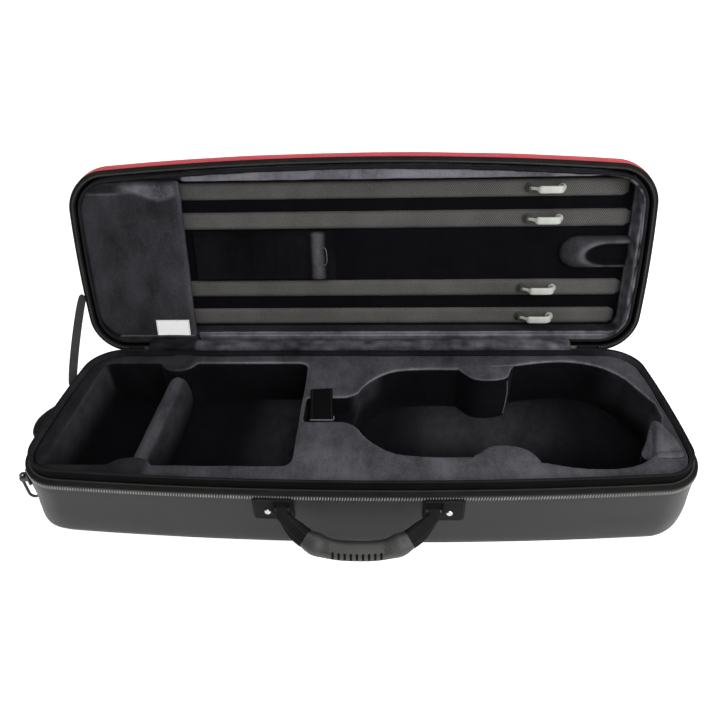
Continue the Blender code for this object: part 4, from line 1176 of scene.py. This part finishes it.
def make_tail_pad():
    """The tongue-shaped cushion over the tailpiece, hollowed towards the lid's end."""
    x0, x1, middle, half = 0.2800, 0.3720, 0.1375, 0.0225

    def roundness(x):
        return max(1 - (1 - min(1.0, (x - x0) / 0.026)) ** 2, 0.0)

    def reach_of(x, s):
        return np.hypot(np.minimum(x - 0.3480, 0.0) / 0.0340, (s - 0.1345) / 0.0150)

    def face(x, t):
        crown = math.sqrt(roundness(x)) * max(1 - abs(2 * t - 1) ** 3.2, 0.0) ** 0.6
        reach = reach_of(x, middle + half * (2 * t - 1))
        return 0.0335 - 0.0160 * crown + 0.0095 * float(blend_step(1.15, 0.75, reach))

    columns = []
    for k in range(61):
        x = x0 + (x1 - x0) * k / 60
        width = half * math.sqrt(max(roundness(x), 0.004))
        columns.append((x, middle - width, middle + width))
    pad = lid_relief("velvet_tail_pad", columns, face, "velvet")
    ripple(pad, 0.0005, 0.02, 12)
    x, y, w = axes(pad)[:3]
    reach = reach_of(x, -y)
    # painted highlight round the rim of the hollow; painted shade inside the hollow and on the deep parts
    painted_light = (0.17 + 0.32 * bell(reach, 1.22, 0.16)) * blend_step(0.95, 1.10, reach) * blend_step(0.0335, 0.027, w)
    dress(pad, painted_light + 0.012, "lid", "tail_pad", padded=0.8)


def disc(radius, low, high, sides=24, dome=0.0):
    """A round boss with a softened top edge and an optional dimple."""
    bevel = min(0.0006, radius * 0.3)
    levels = ((radius, low), (radius, high + bevel), (radius - bevel, high), (radius * 0.55, high),
              (radius * 0.42, high + dome), (radius * 0.05, high + dome))
    return loft([level(ellipse(0, 0, r, r, sides), w) for r, w in levels])


def make_bow_clips():
    """Turning bow clips: a dark post with a screw cap, and a pale bridge with a boss at its far leg."""
    for number, centre in enumerate(BED_CENTRES, 1):
        place = LID_PLACE @ Matrix.Translation((CLIP_X, -centre, 0))
        post = merge([disc(0.0064, BED_FACE + 0.001, 0.0262), disc(0.0046, 0.0265, 0.0236, dome=0.0012),
                      disc(0.0040, 0.0232, 0.0204, dome=0.0010)])
        piece(f"clip_post_{number}", post, "dark_plastic", "lid", "dark_plastic", f"bow_clip_post_{number}",
              place=place)
        arch = smooth_curve(((0.0000, 0, 0.0226), (0.0030, 0.0002, 0.0204), (0.0075, 0.0008, 0.0166),
                             (0.0115, 0.0014, 0.0142), (0.0150, 0.0016, 0.0138),
                             (CLIP_SPAN - 0.010, 0.0016, 0.0138), (CLIP_SPAN - 0.004, 0.0014, 0.0150),
                             (CLIP_SPAN - 0.0006, 0.0006, 0.0190), (CLIP_SPAN, 0, 0.0262)), 5)
        slim = [0.42 + 0.58 * float(blend_step(0.0070, 0.0115, p[0])) for p in arch]
        bar = sweep(arch, rounded_section(0.0098, 0.0048, 4.0, 16), up=(0, 1, 0), scales=slim, turned=True)
        points, faces = disc(0.0056, 0.0290, 0.0248, dome=0.0010)
        boss = [Vector(p) + Vector((CLIP_SPAN, 0, 0)) for p in points], faces
        piece(f"clip_arm_{number}", merge([bar, boss]), "clip", f"bow_clip_{number}", "clip_plastic",
              f"bow_clip_arm_{number}", place=place)


# ---------------------------------------------------------------- hinge side

def make_gusset():
    """The strip of velvet over the hinge, from the collar to the rolls on the lid."""
    path = smooth_curve(((0.1130, 0.1046), (0.1160, 0.1074), (0.1205, 0.1098), (0.1265, 0.1110),
                         (0.1318, 0.1103), (0.1338, 0.1090)), 4)
    rings = []
    for k in range(121):
        x = GUSSET_LEFT + GUSSET_WIDTH * k / 120
        sag = 0.0006 * noise.noise(Vector((x * 40, 0, 3)))
        top = [(x, y, z + 0.0008 + sag) for y, z in path]
        rings.append([(x, y, z + sag) for y, z in path] + top[::-1])
    gusset = add_object("hinge_gusset_cloth", loft(rings), "velvet")
    points, _ = points_of(gusset)
    x, y = points[:, 0], points[:, 1]
    # painted light: paler towards the right, darker left of x = -0.235 and along its front part, in crushed patches
    lit_amount = 0.30 + 0.14 * blend_step(0.0, 0.25, x) - 0.24 * blend_step(-0.233, -0.240, x)
    crushed = 1 + 0.9 * field(points * (1, 2, 2), 0.018, 17)
    set_painted_light(gusset, lit_amount * crushed * (0.62 + 0.38 * blend_step(0.113, 0.117, y)), 0.01)
    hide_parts("hinge_gusset")
    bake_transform(gusset)


def make_stay_strap():
    """The webbing that holds the lid open, outside the left end, twisted along its length."""
    low, high = Vector((-0.3972, 0.053, 0.0850)), Vector((-0.3972, 0.1525, 0.1745))
    run, across = (high - low).normalized(), Vector((1, 0, 0))
    flat = run.cross(across).normalized()
    rings = []
    for k in range(61):
        t = k / 60
        middle = low.lerp(high, t) + Vector((-0.0036 * math.sin(math.pi * t) ** 0.5, 0, 0))
        turn = Matrix.Rotation(math.radians(-58) * math.sin(math.pi * t) ** 0.3, 3, run)
        wide, thick = turn @ flat, turn @ across
        rings.append([middle + wide * a + thick * b for a, b in rounded_section(0.0112, 0.0017, 6, 16)])
    strap = add_object("stay_strap_webbing", loft(rings), "webbing")
    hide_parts("stay_strap")
    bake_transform(strap)


# ---------------------------------------------------------------- handle and ends

def handle_reach(x):
    """How far the handle's middle line stands from the pivot line at x."""
    return (HANDLE_REACH - 0.0028) * (1 - (abs(x) / (HANDLE_HALF_SPAN + 0.004)) ** 2.8)


def make_grip():
    """The moulded rubber grip: slots along its outer edge, raised diamonds on its shoulders."""
    steps = 96
    path, scales = [], []
    for k in range(steps + 1):
        x = -GRIP_HALF_LENGTH + 2 * GRIP_HALF_LENGTH * k / steps
        path.append((x, -handle_reach(x), 0))
        end = abs(x) / GRIP_HALF_LENGTH
        scales.append(1.0 - 0.10 * end ** 8 + 0.17 * math.exp(-((end - 0.80) / 0.15) ** 2))
    body = sweep(path, rounded_section(0.0210, 0.0216, 2.6, 36), scales=scales)
    grip = add_object("rubber_grip", body, "rubber", HANDLE_PLACE, 50)
    slots, floors = [], []
    for k in range(9):
        x = SLOT_PITCH * (k - 4)
        y = -handle_reach(x)
        slots.append(block((x - 0.00135, y - 0.020, 0.0016), (x + 0.00135, y - 0.0016, 0.0160)))
        # black blocks at the foot of each slot: painted shade down in the slots
        floors.append(block((x - 0.0013, y - 0.0097, 0.0008), (x + 0.0013, y - 0.0018, 0.0020)))
    combine(grip, slots, "DIFFERENCE", HANDLE_PLACE)
    grip.data.shade_smooth()
    grip.data.set_sharp_from_angle(angle=math.radians(40))
    attach(grip, "handle", "rubber", "handle_grip")
    piece("grip_slot_shade", merge(floors), "slot_black", "handle", "rubber", place=HANDLE_PLACE)
    studs = []
    for side in (-1, 1):
        for row in range(5):
            for k in range(8):
                x = side * (0.0300 + 0.0026 * k + 0.0013 * (row % 2))
                y = 0.0062 - 0.0026 * row
                z = 0.0108 * (1 - (abs(y) / 0.0108) ** 2.6) ** (1 / 2.6)
                studs.append((Vector((x, y - handle_reach(x), z * 1.03)), Vector((1, 0, 0)),
                              Vector((0, y, z)).normalized()))
    stitches("grip_diamonds", studs, (0.0022, 0.0018, 0.0016), "rubber", "handle", "rubber", HANDLE_PLACE)


def make_sleeves():
    """The leathercloth sleeves between the grip and the tabs' bars, sewn along their edges."""
    for name, side in SIDES:
        path = []
        for k in range(19):
            x = side * (GRIP_HALF_LENGTH - 0.001 + (HANDLE_HALF_SPAN - 0.0020 - GRIP_HALF_LENGTH) * k / 18)
            path.append(Vector((x, -handle_reach(x), 0)))
        path.append(Vector((side * (HANDLE_HALF_SPAN - 0.0002), -0.0060, 0)))
        path.append(Vector((side * HANDLE_HALF_SPAN, -0.0015, 0)))
        last = len(path) - 1
        rings = []
        for i, p in enumerate(path):
            width = 0.0208 - 0.0072 * float(blend_step(0.35, 1.0, i / last))
            height = 0.0170 - 0.0090 * float(blend_step(0.0, 0.6, i / last))
            across = (path[min(i + 1, last)] - path[max(i - 1, 0)]).normalized().cross(UP)
            rings.append([p + across * a + UP * b for a, b in rounded_section(width, height, 3.2, 20)])
        piece(f"leather_sleeve_{name}", loft(rings), "tab_leather", "handle", "black_fabric",
              f"handle_sleeve_{name}", place=HANDLE_PLACE)
        middle = side * HANDLE_HALF_SPAN
        hub = sweep([(middle - 0.0062, 0, 0), (middle + 0.0062, 0, 0)], circle(0.0041, 20))
        piece(f"sleeve_loop_{name}", hub, "tab_leather", "handle", "black_fabric", place=HANDLE_PLACE)
        rows = []
        for k in (-1, 1):
            line = []
            for ring in rings[1:-2]:
                centre = sum(ring, Vector()) / len(ring)
                out = ring[0] - centre
                out.z = 0
                top = max(p.z - centre.z for p in ring) + 0.0002
                line.append(centre + out.normalized() * k * 0.0050 + UP * top)
            rows += stitch_row(line, 0.0030)
        stitches(f"sleeve_stitches_{name}", rows, (0.0021, 0.0006, 0.0006), "dark_thread", "handle",
                 "black_fabric", HANDLE_PLACE)


def make_tab(name, side):
    """A sewn leathercloth patch with the ears and bar that hold the handle, and its rivet."""
    centre, pivot_x = HANDLE_X + side * TAB_OFFSET, HANDLE_X + side * HANDLE_HALF_SPAN
    tilt = side * math.atan(2 * FRONT_BOW * abs(centre) / (HALF_LENGTH - END_BOW) ** 2)
    upright = Matrix.Rotation(math.radians(90), 4, "X")
    place = (Matrix.Translation((centre, front_face_y(centre), TAB_CENTRE_Z))
             @ Matrix.Rotation(tilt, 4, "Z") @ upright)
    levels = ((0.0, 0.0002), (0.0, 0.0024), (0.0006, 0.0032), (0.0020, 0.0035))
    rings = [level(rounded_rectangle(-0.0230 + edge, 0.0230 - edge, -0.0166 + edge, 0.0166 - edge, 0.004 - edge), w)
             for edge, w in levels]
    piece(f"tab_patch_{name}", loft(rings), "tab_leather", "base", "black_fabric", f"handle_tab_{name}",
          place=place)
    outline = level(rounded_rectangle(-0.0210, 0.0210, -0.0146, 0.0146, 0.003), 0.0036)
    stitches(f"tab_stitches_{name}", stitch_row(outline, 0.0029, UP, True), (0.0021, 0.0007, 0.0007),
             "dark_thread", "base", "black_fabric", place)
    turns = [math.radians(90 + 180 * k / 12) for k in range(13)]
    side_view = [(front_face_y(pivot_x), HANDLE_PIVOT_Z + dz) for dz in (-0.0056, 0.0056)]
    side_view += [(PIVOT_Y + 0.0046 * math.cos(a), HANDLE_PIVOT_Z + 0.0046 * math.sin(a)) for a in turns]
    ears = [loft([[(pivot_x + edge + dx, PIVOT_Y + (y - PIVOT_Y) * k, HANDLE_PIVOT_Z + (z - HANDLE_PIVOT_Z) * k)
                   for y, z in side_view] for dx, k in ((-0.0013, 0.88), (-0.0009, 1), (0.0009, 1), (0.0013, 0.88))])
            for edge in (-0.0098, 0.0098)]
    piece(f"tab_ears_{name}", merge(ears), "tab_leather", "base", "black_fabric")
    rod = sweep([(pivot_x + dx, PIVOT_Y, HANDLE_PIVOT_Z) for dx in (-0.0108, 0.0108)], circle(0.0018, 16))
    piece(f"tab_bar_{name}", rod, "gunmetal", "base", "steel")
    rivet_x = HANDLE_X + side * RIVET_OFFSET
    seat = Matrix.Translation((rivet_x, front_face_y(rivet_x) - 0.0034, TAB_CENTRE_Z - 0.003))
    levels = ((0.0043, 0.0), (0.0044, 0.0006), (0.0040, 0.0013), (0.0032, 0.0019), (0.0023, 0.0022),
              (0.0015, 0.0021), (0.0011, 0.0014), (0.0003, 0.0012))
    head = loft([level(ellipse(0, 0, 0.86 * r, 0.86 * r, 28), w) for r, w in levels])
    piece(f"rivet_head_{name}", head, "steel", "base", "steel", f"handle_rivet_{name}", place=seat @ upright)


def make_side_handle():
    """The webbing grab strap on the left end, its two ends sewn flat to the wall."""
    route = smooth_curve(((0.040, 0.0015), (0.030, 0.0015), (0.020, 0.0080), (0.004, 0.0175),
                          (-0.014, 0.0215), (-0.034, 0.0170), (-0.048, 0.0070), (-0.058, 0.0015),
                          (-0.068, 0.0015)))
    path = [(-(end_face_x(y) + out), y, SIDE_HANDLE_Z) for y, out in route]
    piece("side_handle_webbing", sweep(path, rounded_section(0.0022, 0.0250, 6, 16)), "webbing", "base", "webbing",
          "side_handle")
    rows = []
    for y in (0.0385, 0.0315, -0.0590, -0.0665):
        line = [(-(end_face_x(y) + 0.0027), y, 0.0590 + 0.022 * k / 8) for k in range(9)]
        rows += stitch_row(line, 0.0027, Vector((-1, 0, 0)))
    stitches("side_handle_stitches", rows, (0.0020, 0.0007, 0.0006), "thread", "base", "webbing")


def make_ring(name):
    """An oval wire ring that hangs at one end."""
    wire = 0.0017
    low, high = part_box(f"carry_ring_{name}")
    x, y, half = (low.x + high.x) / 2, (low.y + high.y) / 2, (high.x - low.x) / 2 - wire
    path = []
    for start, z in ((0, high.z - wire - half), (math.pi, low.z + wire + half)):
        turns = [start + math.pi * k / 24 for k in range(25)]
        path += [(x + half * math.cos(a), y, z + half * math.sin(a)) for a in turns]
    ring = sweep(path, circle(wire, 14), up=(0, 1, 0), closed=True)
    piece(f"wire_ring_{name}", ring, "gunmetal", f"ring_{name}", "dark_steel", f"carry_ring_{name}")


def finish_cad_nodes():
    """Better materials for the CAD nodes that stay."""
    finishes = {
        "leatherette": ("bottom_panel",),
        "nickel": ("hinge_leaf_base", "hinge_leaf_lid", "hinge_pin", "zip_slider_left", "zip_slider_right",
                   "zip_pull_left", "zip_pull_right"),
        "gunmetal": ("ring_bracket_left", "ring_bracket_right"),
    }
    for finish, nodes in finishes.items():
        for node in nodes:
            for slot in NODES[node].material_slots:
                slot.material = MATS[finish]


# ---------------------------------------------------------------- the whole case

make_camera()
make_stage()
make_materials()
for make in (make_base_shell, make_rim_stitches, make_zips, make_collar, make_tray, make_divider, make_floor_pads,
             make_waist_blocks, make_corner_pad, make_neck_strap, make_lid_shell, make_lining, make_rim_band,
             make_tip_cover, make_label, make_bow_beds, make_neck_pad, make_tail_pad, make_bow_clips, make_gusset,
             make_stay_strap, make_grip, make_sleeves):
    make()
for end_name, end_side in SIDES:
    make_tab(end_name, end_side)
make_side_handle()
for end_name, _ in SIDES:
    make_ring(end_name)
finish_cad_nodes()
